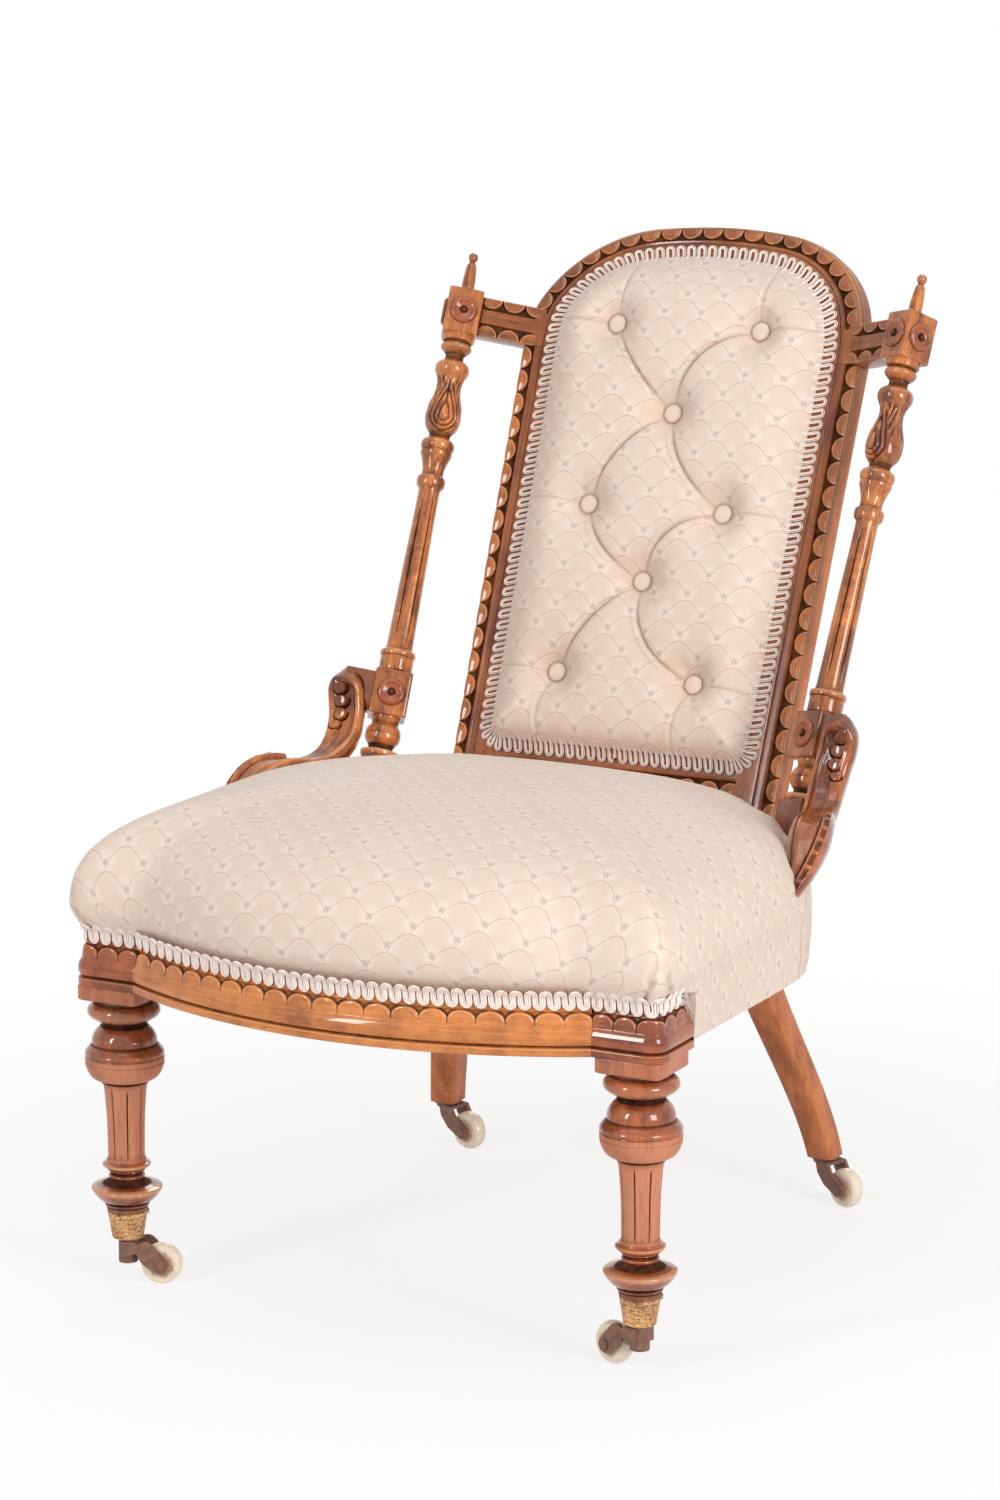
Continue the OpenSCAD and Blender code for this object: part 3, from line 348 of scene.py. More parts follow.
def piece(name, parts, material, nodes, sharp=40, closed=True):
    parts = [outwards(part) if closed else part for part in parts]
    faces, first = [], 0
    for part in parts:
        faces += (part["quads"] + first).tolist() + (part["tris"] + first).tolist()
        first += len(part["points"])
    points = join(*[part["points"] for part in parts]) - np.array([0, MIDDLE, 0])
    mesh = bpy.data.meshes.new(name)
    mesh.from_pydata((points / 1000).tolist(), [], faces)
    widths = {key: value.shape[1] for part in parts for key, value in part["marks"].items()}
    for key, width in widths.items():
        values = join(*[part["marks"].get(key, np.zeros((len(part["points"]), width))) for part in parts])
        kind, field, scale = ("FLOAT_VECTOR", "vector", 1000) if width == 3 else ("FLOAT", "value", 1)
        mark = mesh.attributes.new(key, kind, "POINT")
        mark.data.foreach_set(field, (values / scale).astype(np.float32).ravel())
    mesh.materials.append(material)
    mesh.shade_smooth()
    mesh.set_sharp_from_angle(angle=math.radians(sharp))
    made = put_in(name, mesh)
    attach(made, "chair_frame")
    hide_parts(*nodes)
    return made


def turning(points, angles, per, carve=None, bare=()):
    """Turned part on the Z axis. carve lowers the radius by an amount that depends on angle and height, and
    gives it with the dirt and painted shade that go with it; between each pair of heights in bare the polish
    is gone."""
    z, r = turned_line(points, per)
    turn = circle(angles) if np.isscalar(angles) else np.radians(angles)
    cut, dirt = carve(turn, z[:, None]) if carve else (np.zeros((len(z), len(turn))),) * 2
    radius = np.maximum(r[:, None] - cut, 0.05)
    low, high = cove(z, r)
    surface = pack(radius * np.cos(turn), radius * np.sin(turn), z[:, None])
    flat = sum([smooth((z - a) / 1.5) * smooth((b - z) / 1.5) for a, b in bare], 0 * z)
    return grid(surface, grain=surface[..., [2, 0, 1]], dirt=limit(low[:, None] * 1.4 + dirt),
                worn=high[:, None] * (dirt < 0.2), dull=flat[:, None])


def flutes(first, last, count, wide, deep):
    """Narrow grooves along a shaft, from first to last height, with a V section and run-out ends."""
    def cut(angle, height):
        place = angle * count / (2 * math.pi)
        off = np.abs(place - np.round(place)) * 360 / count
        window = limit((height - first) / 6) * limit((last - height) / 6)
        groove = limit(1 - off / wide) * np.sqrt(window)
        # The groove's share is also its dirt and painted shade.
        return groove * deep, groove
    return cut


def groove_angles(count, wide):
    """Angles round a shaft, in degrees, close together at each groove."""
    step = 360 / count
    once = join(np.array([-1, -0.5, 0, 0.5, 1]) * wide, np.linspace(wide, step - wide, 8)[1:-1])
    return (np.arange(count)[:, None] * step + once).ravel()


def cushioned_block(wide, deep, low, high, soft, rows=14, dome=0.0, dull=0.0):
    """Block with rounded edges: a superellipse plan, drawn in over the distance soft at both ends. dome
    raises the middle of the top over its edges, and dull is the share of its polish that is gone."""
    angle = circle(72) + 0.001
    s = quarter(5)
    shoulder = high - soft - dome
    heights = join(low + soft * (1 - np.cos(s)), np.linspace(low + soft, shoulder, rows)[1:-1],
                   shoulder + soft * np.sin(s))
    inset = join(soft * (1 - np.sin(s)), np.zeros(rows - 2), soft * (1 - np.cos(s)))[:, None]
    x = squared(np.cos(angle), 0.16) * (wide / 2 - inset)
    y = squared(np.sin(angle), 0.16) * (deep / 2 - inset)
    points = pack(x, y, heights[:, None])
    if dome:
        share = np.linspace(0.96, 0.1, 8)[:, None]
        points = join(points, pack(x[-1] * share, y[-1] * share, high - dome * share**2))
    edge = limit(1.4 - np.abs(np.abs(points[..., 0]) - wide / 2) - np.abs(np.abs(points[..., 1]) - deep / 2))
    return grid(points, grain=points[..., [2, 0, 1]], dirt=0.0, worn=edge, dull=dull)


def walnut(name, light, dark, recess, bright, gloss, mottle=1.0, polished=0.7):
    """Polished walnut: long soft figure between light and dark, blotches of old polish, fine pores along the
    grain, dirt and painted shade in the carving's recesses, thin bright wear on its edges, and dull pinkish
    patches where the polish is gone. The mark satin is a softer sheen, deep a darker wood."""
    w = finish(name)
    grain, place = w.mark("grain", 1), w.place()
    dirt, worn = w.mark("dirt").between(0.08, 0.85), w.mark("worn").between(0.15, 0.95)
    dull, satin, deep = w.mark("dull"), w.mark("satin"), w.mark("deep")
    figure = grain.stretched(8, 70, 70).noise(1.0, 5.0, 0.62).between(0.34, 0.66)
    streak = grain.stretched(14, 420, 420).noise(1.0, 3.0, 0.6).between(0.42, 0.7)
    pores = grain.stretched(90, 1300, 1300).noise(1.0, 2.0, 0.5).between(0.55, 0.72)
    cloud = place.noise(19.0, 4.0, 0.65).between(0.4, 0.62)
    blotch = place.noise(52.0, 5.0, 0.7).between(0.52, 0.7)
    grime = place.noise(170.0, 3.0, 0.6).between(0.3, 0.75)
    colour = layered(light, (dark, (figure * 0.45 + cloud * 0.45 + streak * 0.25 - 0.12) * mottle),
                     (recess, blotch * (0.4 * mottle) * (1 - dull * 0.7)),
                     ((0.66, 0.225, 0.10), satin * (0.65 - figure * 0.3)),
                     (dark, deep * (figure * 0.3 + 0.6)),
                     ((0.60, 0.245, 0.145), dull * (0.95 - figure * 0.3 - streak * 0.15)),
                     (recess, pores * 0.28 * (1 - worn)), (bright, worn * (cloud * 0.4 + 0.4)),
                     # The last layer is dirt and painted shade in the recesses.
                     (recess, dirt * (grime * 0.3 + 0.7)))
    polish = (1 - dirt) * (1 - dull * 0.85) * (1 - satin * 0.8)
    return coat(w, colour, cloud * 0.08 + dirt * 0.45 + dull * 0.3 + satin * 0.25 + gloss,
                pores * -0.5 + place.noise(60.0) * 0.5, 0.00025,
                **{"Coat Weight": polish * polished, "Coat Roughness": 0.07, "Specular IOR Level": 0.1})


LEG_WALNUT = walnut("leg_walnut", (0.46, 0.115, 0.034), (0.12, 0.024, 0.010), (0.012, 0.005, 0.004),
                    (0.74, 0.36, 0.19), 0.18, polished=0.95)

# Heights and radii of the front leg, from the cup up to the square pad.
LEG_LINE = [
    (71.5, 17.5), (73, 19.2), (74.2, 20), (75.4, 19.9), (76.4, 18.8), (77.5, 22), (79, 24.6), (82, 27.4),
    (85.5, 30), (88.3, 31.4), (89.4, 31.6), (90.3, 31), (91, 28.5), (92.2, 23.5), (94, 18.6), (96.4, 15.6),
    (98, 14.9), (98.8, 15.8), (100, 16.2), (101.2, 15.6), (101.8, 14.2), (103, 13.8), (104.2, 14.6),
    (105, 16.4), (105.7, 16.2), (107.5, 18.9), (109.6, 21.2), (110.6, 21.6), (111.5, 20.9), (112.5, 18.6),
    (113.6, 17.6), (114.4, 17.9), (115.2, 17.2), (117, 16.2), (150, 16.7), (170, 17.9), (180, 18.8),
    (183.5, 19.6), (185, 20.6), (186.4, 20.9), (187.2, 20.2), (188, 21.8), (189.5, 26.6), (192, 30),
    (196.5, 32.8), (201, 34.4), (204, 34.9), (204.8, 34.2), (205.6, 34.9), (209.5, 35), (210.5, 34.2),
    (211.3, 35), (213.5, 35), (216, 33.6), (218.6, 31.2), (220.2, 29.2), (221.4, 28.4), (222.2, 29),
    (226, 28.6), (230, 27.2), (234, 24.4), (236.8, 21.2), (238.2, 19.2), (240, 18.6), (241.4, 19.6),
    (242.2, 22.5), (244.4, 27.4), (248, 31.4), (250.5, 32.3), (253, 32), (256, 30), (258, 27.4), (259, 25.9),
    (260.5, 25.6), (263, 25.8)]

for side, word in SIDES:
    shaft = turning(LEG_LINE, groove_angles(8, 3.0), 4, carve=flutes(118.5, 181, 8, 3.0, 2.4),
                    bare=((114, 186), (188, 210.5), (258, 264)))
    shaft = moved(shaft, turn=turn_about("z", side * 8.0 - 90))
    pad = cushioned_block(61, 61, 263, RAIL_BOTTOM, 2.0, 6, dull=0.6)
    core = cushioned_block(55, 55, RAIL_BOTTOM, 325, 1.0, 4)
    foot = turning([(52, 12.6), (60, 13.6), (72, 15.4)], 48, 3)
    parts = [moved(part, move=(side * (LEG_X - inwards), LEG_Y + inwards, 0))
             for part, inwards in ((shaft, 0), (pad, 0), (core, 5), (foot, 0))]
    piece("turned_leg_" + word, parts, LEG_WALNUT, ["front_leg_" + word])


# Front rail and corner blocks
# The front rail is bow-fronted solid walnut with an ogee moulding over a flat strip, and a row of carved
# half-round lobes under the braid; mitred pieces of the same moulding wrap both corner blocks.

JOINT_X, BLOCK_FRONT, BLOCK_REAR, BOW_R, BOW_Y = 219.0, -319.0, -263.0, 442.457, 65.457
# Heights over the rail's underside, and how far the moulding stands out.
OGEE = [(0, 9.2), (0.8, 10), (6.0, 10), (6.8, 9.4), (7.5, 7.0), (8.6, 6.9), (9.3, 8.4), (11.2, 9.6), (14, 10),
        (17.5, 9.7), (20.5, 8.7), (23, 7.2), (24.6, 6.2), (30, 5.3), (35.8, 4.4), (36.6, 3.2),
        (37.4, 1.6), (48.5, 1.5)]
STEM, ARC_TALL, LOBES_LOW = 4.5, 7.8, 24.0


def walked(line):
    """Length walked along a line of points, up to each of them."""
    return join([0], np.cumsum(np.linalg.norm(np.diff(line, axis=0), axis=-1)))


def carried(mark, extra, value=0.0):
    """A face's mark or shape carried on with one value over the extra columns behind the face."""
    return np.pad(mark, ((0, 0), (0, extra)), constant_values=value)


def ogee_front(along, pitch):
    """The moulding's heights and how far each stands out. Its lobes have a low arc on short straight sides,
    cut round with a narrow line; the ground over the arcs lies a little lower, and the rims are worn."""
    height, out = turned_line(OGEE, 6)
    up = height - LOBES_LOW - STEM
    across = (along[:, None] / pitch) % 1 - 0.5
    share = np.sqrt((across / 0.49) ** 2 + (np.clip(up, 0, None) / ARC_TALL) ** 2)
    edge = (1 - share) * np.where(up > 0, ARC_TALL * 0.9, pitch / 2)
    band = limit((up + STEM) / 1.5) * (height < 36.6)
    line = hill(edge, -0.35, 0.5) * band
    ground = limit((-edge - 0.2) / 0.7) * (up > 0) * band
    rim = hill(edge, 0.9, 0.55) * (up > -1) * band
    swell = limit(1 - share**2) * band * (up > -STEM)
    proud = out - 1.5 * line - 1.7 * ground + 0.55 * swell
    # The third value is dirt and painted shade in the cut lines and on the sunk ground.
    return height, proud, limit(0.95 * line + 0.5 * ground), rim * 0.8


def wrapped(line, normal, along, pitch, back):
    """Moulding carried along a line on plan: each row is the section, from the strip up to the top and back
    down the rear face. Both its ends are sunk a little and dirty, where it meets the next moulding."""
    height, proud, dirt, worn = ogee_front(along, pitch)
    # Dirt and painted shade in the groove over the strip.
    dirt = limit(dirt + hill(height, 8.1, 0.9))
    worn = limit(worn + 0.55 * hill(height, 6.2, 0.8))
    joint = hill(np.minimum(along - along[0], along[-1] - along), 0, 1.3)[:, None]
    rear = 6
    out = carried(proud - 0.7 * joint, rear, -back)
    z = join(height, np.linspace(height[-1], height[0], rear)) + RAIL_BOTTOM
    x, y = np.moveaxis(line[:, None] + normal[:, None] * out[..., None], -1, 0)
    return grid(pack(x, y, z), grain=pack(along[:, None], z, out), dirt=carried(limit(dirt + joint), rear),
                worn=carried(worn * (1 - joint), rear))


RAIL_WALNUT = walnut("rail_walnut", (0.70, 0.245, 0.064), (0.25, 0.068, 0.020), (0.018, 0.008, 0.005),
                     (0.84, 0.47, 0.25), 0.24, 0.8)
reach = math.asin((JOINT_X - 0.3) / BOW_R)
swing = np.linspace(-reach, reach, 560)
outward = pack(np.sin(swing), -np.cos(swing))
piece("carved_front_rail",
      [wrapped([0, BOW_Y] + BOW_R * outward, outward, (swing + reach) * BOW_R, 2 * reach * BOW_R / 19, 26)],
      RAIL_WALNUT, ["front_rail"], sharp=55)

TURN_R = 6  # radius of the moulding's turn round the block's front corner
CORNER = LEG_X - 10 + BLOCK / 2 - TURN_R
bend = quarter(14)[1:-1]
normal = join(np.tile([0.0, -1], (80, 1)), pack(np.sin(bend), -np.cos(bend)), np.tile([1.0, 0], (76, 1)))
centres = join(pack(np.linspace(JOINT_X + 0.3, CORNER, 80), BLOCK_FRONT + TURN_R),
               np.tile([CORNER, BLOCK_FRONT + TURN_R], (12, 1)),
               pack(CORNER, np.linspace(BLOCK_FRONT + TURN_R, BLOCK_REAR, 76)))
line = centres + TURN_R * normal
walk = walked(line) + 1.0
for side, word in SIDES:
    piece("corner_carving_" + word, [moved(wrapped(line, normal, walk, 21.0, 0.02), mirror=side < 0)],
          LEG_WALNUT, ["corner_moulding_" + word], sharp=55)


# Back frame
# Two raked stiles and an arched crest rail, worked from walnut an inch thick: half-round lobes run up the
# outer edge, then comes a plain band and a bead against the braid. The crest curves back at its top.

LEAN = math.radians(23.1)
# Half width of the back at its top and what it loses on the way down, the arch's shoulder radius and the
# height of its centre, then the ends of the stiles and the top of the arch, as lengths up the slope.
HALF, TAPER, SHOULDER, SPRING, CREST_S, FOOT_S, TOP_S = 176.0, 9.0, 126.0, 856.0, 846.0, 301.15, 986.0
ARCH_X, BEND_S, SLOPE, PLANE_Y, THICK = HALF - SHOULDER, 872.0, 0.31, -10, 28.0
RAIL_HALF = 133.8  # half the length of the back's bottom rail between the stiles
ARCH_R = (ARCH_X**2 + 130.0**2 - SHOULDER**2) / (2 * (130 - SHOULDER))
ARCH_TURN = math.atan2(SPRING - (TOP_S - ARCH_R), ARCH_X)
WALNUT = walnut("polished_walnut", (0.58, 0.185, 0.045), (0.125, 0.028, 0.010), (0.012, 0.006, 0.004),
                (0.82, 0.42, 0.20), 0.22)


def in_back(across, up, behind):
    """From width, length up the slope and depth behind the back's face to the chair's frame."""
    return pack(across, PLANE_Y + behind * math.cos(LEAN) + up * math.sin(LEAN),
                up * math.cos(LEAN) - behind * math.sin(LEAN))


def swept(up):
    """How far the crest has curved back at a length up the slope: a parabola and then its tangent."""
    over = np.clip(up - BEND_S, 0, None)
    return np.where(over < 26, SLOPE * over**2 / 52, SLOPE * (over - 13))


def stile_x(up):
    """Half width of the back at a length up the slope."""
    return HALF - TAPER * (CREST_S - up) / (CREST_S - FOOT_S)


def arch_line(count):
    """Outer line of the arch from the right stile's top over to the left one's, by even steps along it:
    points and inward normals, and the length walked. It has two straight ends, two shoulders and a crown."""
    top = TOP_S - ARCH_R
    crown = ARCH_R * (math.pi - 2 * ARCH_TURN)
    runs = [SPRING - CREST_S, SHOULDER * ARCH_TURN, crown, SHOULDER * ARCH_TURN, SPRING - CREST_S]
    ends = join([0], np.cumsum(runs))
    walk = np.linspace(0, ends[-1], count)
    run = np.searchsorted(ends[1:-1], walk, "right")
    radius = np.array([SHOULDER, SHOULDER, ARCH_R, SHOULDER, SHOULDER])[run]
    angle = np.array([0, 0, ARCH_TURN, math.pi - ARCH_TURN, math.pi])[run]
    angle = angle + ((run > 0) & (run < 4)) * (walk - ends[run]) / radius
    centre_x = np.array([ARCH_X, ARCH_X, 0, -ARCH_X, -ARCH_X])[run]
    centre_s = np.choose(run, [CREST_S + walk, SPRING, top, SPRING, CREST_S + ends[-1] - walk])
    normal = -pack(np.cos(angle), np.sin(angle))
    return pack(centre_x, centre_s) - normal * radius[:, None], normal, walk


def lobes(along, up, pitch, tall):
    """Row of half-round lobes that stand on the line up = 0, each an ellipse as wide as the pitch: 1 inside
    them, 1 along their rims, and the distance from a lobe's middle as a share of the way to its rim."""
    across = (along / pitch) % 1 - 0.5
    share = np.sqrt((across / 0.485) ** 2 + (up / tall) ** 2)
    return smooth((1 - share) * tall / 0.8 + 0.5) * (up > -0.5), hill(share, 0.9, 0.07) * (up > 0), share


def softened(gap, soft):
    """Depth of a rounded edge, at a distance from the side: a quarter circle of radius soft."""
    edge = np.clip(soft - gap, 0, soft)
    return soft - np.sqrt(soft**2 - edge**2)


def frame_face(along, across, pitch, lobe_window, soft, start):
    """Depth of a frame member's front face behind its plane, across the member from its outer edge: a round
    of radius soft, the lobes with their cut ground from start on, a hollow band, and a bead that the braid
    lies against. Gives the depth, the dirt and painted shade of its cuts and hollow, the wear, and 1 on the
    band inside the lobes."""
    inside, rim, share = lobes(along, across - start, pitch, 10.6)
    window = lobe_window * limit((across - start + 0.3) / 0.6) * limit((start + 12.6 - across) / 1.4)
    ground = window * (1 - inside)
    hollow = limit((across - start - 13) / 1.5) * limit((21.6 - across) / 1.6)
    line = hill(across, 21.6, 0.5)
    depth = softened(across, soft) + ground * 3.4 + lobe_window * inside * (share**2 * 1.3 - 0.5)
    # Dirt and painted shade on the cut ground, in the line by the bead and in the hollow band.
    dirt = limit(ground + line * 0.8 + 0.2 * hollow)
    worn = rim * window * 0.7 + 0.75 * hill(across, soft * 0.35, 0.8)
    band = smooth((across - start - 11.5) / 2) + 0 * ground
    return depth + hollow * 0.9 + line * 0.9, dirt, limit(worn) * (1 - dirt), band


def member(base, normal, walk, pitch, lobe_window, soft, start=0.7, width=42.0, deep=0.1):
    """Frame member along a line on the back: the carved face, then the inner edge, the rear and the outer
    side with rounded corners. Depths follow the sweep of the crest; deep darkens the whole member."""
    across = join(np.linspace(0, 4, 11), np.linspace(4.5, 26, 44), [30, 36, 41, width])
    depth, dirt, worn, band = frame_face(walk[:, None], across, pitch, lobe_window[:, None], soft, start)
    angle, soft_rear = quarter(5), THICK - 3
    tail_across = join([width, width], width - 3 + 3 * np.cos(angle), [width / 2],
                       3 - 3 * np.sin(angle), [0, 0])
    tail_depth = join([8, THICK - 8], soft_rear + 3 * np.sin(angle), [THICK], soft_rear + 3 * np.cos(angle),
                      [THICK / 2, 8])
    extra = len(tail_across)
    d = join(across, tail_across)
    n = join(depth, np.tile(tail_depth, (len(walk), 1)), axis=1)
    x, s = np.moveaxis(base[:, None] + normal[:, None] * d[:, None], -1, 0)
    return grid(in_back(x, s, n + swept(s)), grain=pack(walk[:, None], d, n), dirt=carried(dirt, extra),
                worn=carried(worn, extra), satin=carried(0.7 * smooth((across - 24) / 3) * band, extra, 1.0),
                deep=carried(np.maximum(band * 0.75, deep), extra, deep))


def ear():
    """Right ear of the crest: a flat arm turned forward to the post's block, with a row of lobes along its
    upper edge and one along its lower; rows go out along it and columns round its section."""
    start, stop, turn = np.array([158.0, 16.3]), np.array([220.1, -19.6]), math.radians(30)
    tall, thick, soft = 38.0, 22.0, 1.5
    t = np.linspace(0, 1, 90)[:, None]
    long = np.hypot(*(stop - start))
    up = join(np.linspace(0, soft, 5), np.linspace(soft, tall - soft, 64)[1:-1],
              np.linspace(tall - soft, tall, 5))
    near = np.minimum(up, tall - up)
    inside, rim, _ = lobes(t * long - 6, near - 0.4, 22.0, 10.0)
    band = limit((near - 0.3) / 0.8) * limit((12.4 - near) / 1.0)
    ground = band * (1 - inside)
    # Dirt and painted shade on the cut ground, and towards the end that meets the post's block.
    dirt = limit(ground * 0.95 + 0.9 * smooth((t * long - long + 7) / 6))
    worn = limit(rim * band * 0.7 + 0.5 * (near < 1.4)) * (1 - dirt)
    angle = quarter(4)
    tail_up = join(tall - soft + soft * np.cos(angle), soft - soft * np.sin(angle))
    tail_off = thick / 2 - soft + soft * join(np.sin(angle), np.cos(angle))
    extra = len(tail_up)
    off = join(softened(near, soft) + ground * 2.6 - thick / 2, np.tile(tail_off, (len(t), 1)), axis=1)
    s = join(up, tail_up) + CREST_S
    mid = start + (stop - start) * t
    surface = in_back(mid[:, :1] + off * math.sin(turn), s, mid[:, 1:] + off * math.cos(turn))
    return grid(surface, grain=pack(t * long, s, off), dirt=carried(dirt, extra),
                worn=carried(worn, extra), deep=0.5)


outline, inward, walk = arch_line(640)
clear = smooth((walk - 36) / 2) * smooth((walk[-1] - 36 - walk) / 2)
crest = member(outline, inward, walk - 38, (walk[-1] - 76) / 20, clear, 7.0, 5.2, deep=0.55)
piece("carved_crest", [crest, ear(), moved(ear(), mirror=True)], WALNUT, ["crest_rail"], sharp=48)


def sabre():
    """Right back leg under the seat: rounded square sections along a cubic curve that sweeps back and out."""
    top_z = FOOT_S * math.cos(LEAN)
    top_y = PLANE_Y + top_z * math.tan(LEAN) + THICK / 2 / math.cos(LEAN)
    t = np.linspace(0, 1, 60)[:, None]
    first, second, third, last = np.array([(152.7, top_y, top_z + 4), (159, top_y + 27, 196),
                                           (191.5, 195, 120), (201.5, 212, 44)])
    mid = (1 - t)**3 * first + 3 * (1 - t)**2 * t * second + 3 * (1 - t) * t**2 * third + t**3 * last
    angle = circle(56)
    x = mid[:, :1] + 18.5 * (1 - 0.24 * t) * squared(np.cos(angle), 0.45)
    y = mid[:, 1:2] + 18.5 * (1.05 - 0.22 * t) * squared(np.sin(angle), 0.45)
    points = pack(x, y, mid[:, 2:])
    edge = limit((np.abs(np.sin(2 * angle)) - 0.94) * 14)
    return grid(points, grain=points[..., [2, 0, 1]], dirt=0.0, worn=edge * 0.5, satin=0.85)


rise = np.linspace(CREST_S - 0.3, FOOT_S, 620)
stile = member(pack(stile_x(rise), rise), np.tile([-1.0, 0], (620, 1)), CREST_S - rise, 23.4,
               np.ones(620), 3.2)
for side, word in SIDES:
    piece("carved_stile_" + word, [moved(part, mirror=side < 0) for part in (stile, sabre())],
          WALNUT, ["back_upright_" + word], sharp=48)

across = np.linspace(-RAIL_HALF, RAIL_HALF, 330)
rail_face = member(pack(across, 428.0), np.tile([0.0, 1], (330, 1)), across + 134, 22.3, np.ones(330), 2.6,
                   width=36.0, deep=0.45)
piece("carved_bottom_rail", [rail_face], WALNUT, ["back_bottom_rail"], sharp=48)


# Side posts
# Each turned post leans with the back from the seat up to the crest's ear: a foot ring, a ball, a square
# block, a fluted shaft, a vase carved with a drop, rings, an upper block and a small turned finial.

POST_FRAME = turn_about("y", 1.9) @ turn_about("x", -26.1) @ turn_about("z", -30.0)
POST_FOOT = (219.5, 108.0, 405.0)
# Heights over the foot, and radii.
POST_LINE = [
    (0, 17.6), (1.2, 18.5), (4.6, 18.5), (5.6, 17.4), (7, 13), (9, 11.6), (11, 12.2), (13, 14), (17, 16.6),
    (21.4, 17.1), (21.9, 16.2), (22.4, 17.0), (27, 16.2), (31, 13.4), (33, 12.6), (35.5, 13.4), (38.5, 14.2),
    (83, 14.2), (85, 16), (97.6, 16), (98.2, 15.2), (99.2, 16.6), (101.6, 17.1), (104, 16.4), (105, 14.2),
    (107, 12.9), (112, 12.6), (190, 11.4), (262, 10.3), (268, 10.6), (270, 12.4), (272, 13.5), (275.5, 13.9),
    (279, 13.3), (281, 11.4), (282, 10.4), (285, 10.4), (291, 11.2), (298, 13.3), (303, 15), (305, 15.2),
    (306, 14.2), (307.4, 15), (310, 16.1), (312.5, 16.3), (316, 15.2), (318.5, 12), (321, 10), (323.5, 10.2),
    (326, 12.4), (329, 14.6), (333, 16.4), (341, 17.5), (350, 16.7), (362, 13.4), (371, 11.9), (375, 12),
    (380, 13.2), (384, 15), (387, 16.3), (390, 16.7), (394, 15.9), (397, 13), (399.4, 9.6), (402, 8.8),
    (404.5, 8.9), (406.4, 10.6), (409, 13.6), (412, 15.2), (414.4, 14.6), (416.4, 12.8), (417.6, 13),
    (418.6, 15.2), (419.6, 15.8), (424.5, 15.8)]
FINIAL_LINE = [
    (0, 7.3), (2.2, 7.2), (3.2, 6.2), (4.2, 6.0), (5.4, 6.3), (12, 6.2), (22, 5.4), (27, 4.8), (29.4, 4.1),
    (30.8, 2.9), (32.0, 2.8), (33.6, 3.9), (35.2, 4.5), (36.7, 4.65), (38.2, 4.4),
    (39.6, 3.6), (40.6, 2.2), (41, 0.5)]


def drop(angle, height):
    """Carving on the front of the vase: nested drops round a small ball, under two pairs of leaves. A drop is
    a half circle below and runs to a point above, so one number, its half width, tells how far out a point
    lies; grooves follow three of these widths."""
    off = (angle + math.pi / 2 + math.pi) % (2 * math.pi) - math.pi
    x, y = off * 15.5, height - 339.0
    above = np.clip(y, 0, None)
    wide = np.where(y > 0, np.sqrt(x**2 + (0.2 * above) ** 2) + 0.15 * above, np.hypot(x, y * 1.05))
    in_front = smooth((1.5 - np.abs(off)) / 0.3)
    groove = sum(hill(wide, size, thick) for size, thick in ((5.0, 1.0), (9.8, 1.15), (14.4, 1.3)))
    groove = groove * smooth((37 - y) / 4) * in_front
    ball = smooth((3.2 - np.hypot(x, y + 0.3)) / 1.2)
    outer = smooth((wide - 15.6) / 1.5) * smooth((y - 2) / 10) * smooth((43 - y) / 3) * in_front
    leaf = hill(((np.abs(x) * 0.9 - y * 0.30) / 5.2) % 1, 0.5, 0.13)
    middle = hill(x, 0, 0.9) * smooth((y - 14) / 4) * smooth((40 - y) / 3)
    cut = groove * 2.0 - ball * 1.3 + outer * (0.5 + leaf) + middle * 1.3
    # The second value is dirt and painted shade in the grooves, round the leaves and in the middle line.
    return cut, limit(groove**2 * 0.85 + outer * (leaf * 0.9 + 0.12) + middle)


def post_cut(angle, height):
    """The shaft's flutes below and the carved drop above, on the front and on the back of the vase."""
    first, dirt = flutes(112, 262, 6, 5.0, 1.9)(angle, height)
    cut, dark = drop(angle, height)
    again, shade = drop(angle + math.pi, height)
    vase = (height > 320) & (height < 384)
    return first + (cut + again) * vase, limit(dirt + (dark + shade) * vase)


def dish(radius):
    """The roundel as rings of radius and height: rim, swelling, hollow and button, closed at the back."""
    r = np.array([1.0, 1.0, 0.985, 0.95, 0.88, 0.79, 0.7, 0.63, 0.52, 0.4, 0.3, 0.25, 0.2, 0.13, 0.05])
    z = np.array([-1.4, 0.1, 0.6, 1.6, 2.6, 3.1, 3.0, 2.5, 2.1, 1.7, 1.2, 1.0, 2.0, 2.6, 2.7])
    # How dark each ring is: dirt and painted shade in the grooves round the rim and the button.
    dark = np.array([0.9, 0.9, 0.6, 0.05, 0, 0, 0, 0.35, 0.1, 0.05, 0.4, 1, 0.9, 0.6, 0.5])
    t = np.linspace(0, len(r) - 1, 57)
    r, z, dark = (np.interp(t, np.arange(len(r)), values)[:, None] for values in (r, z, dark))
    points = pack(radius * r * np.cos(circle(60)), -z, radius * r * np.sin(circle(60)))
    return grid(points, grain=points, dirt=dark, worn=0.4 * (1 - dark))


def darker(part, share):
    """The part with the mark deep, which takes its wood towards the dark of the figure."""
    return {**part, "marks": {**part["marks"], "deep": np.full((len(part["points"]), 1), share)}}


ROSETTE_WALNUT = walnut("rosette_walnut", (0.36, 0.085, 0.028), (0.14, 0.028, 0.011), (0.01, 0.005, 0.004),
                        (0.62, 0.25, 0.12), 0.13)
POST_WALNUT = walnut("post_walnut", (0.68, 0.225, 0.055), (0.15, 0.034, 0.011), (0.014, 0.007, 0.005),
                     (0.86, 0.47, 0.24), 0.2, 1.25, 0.85)

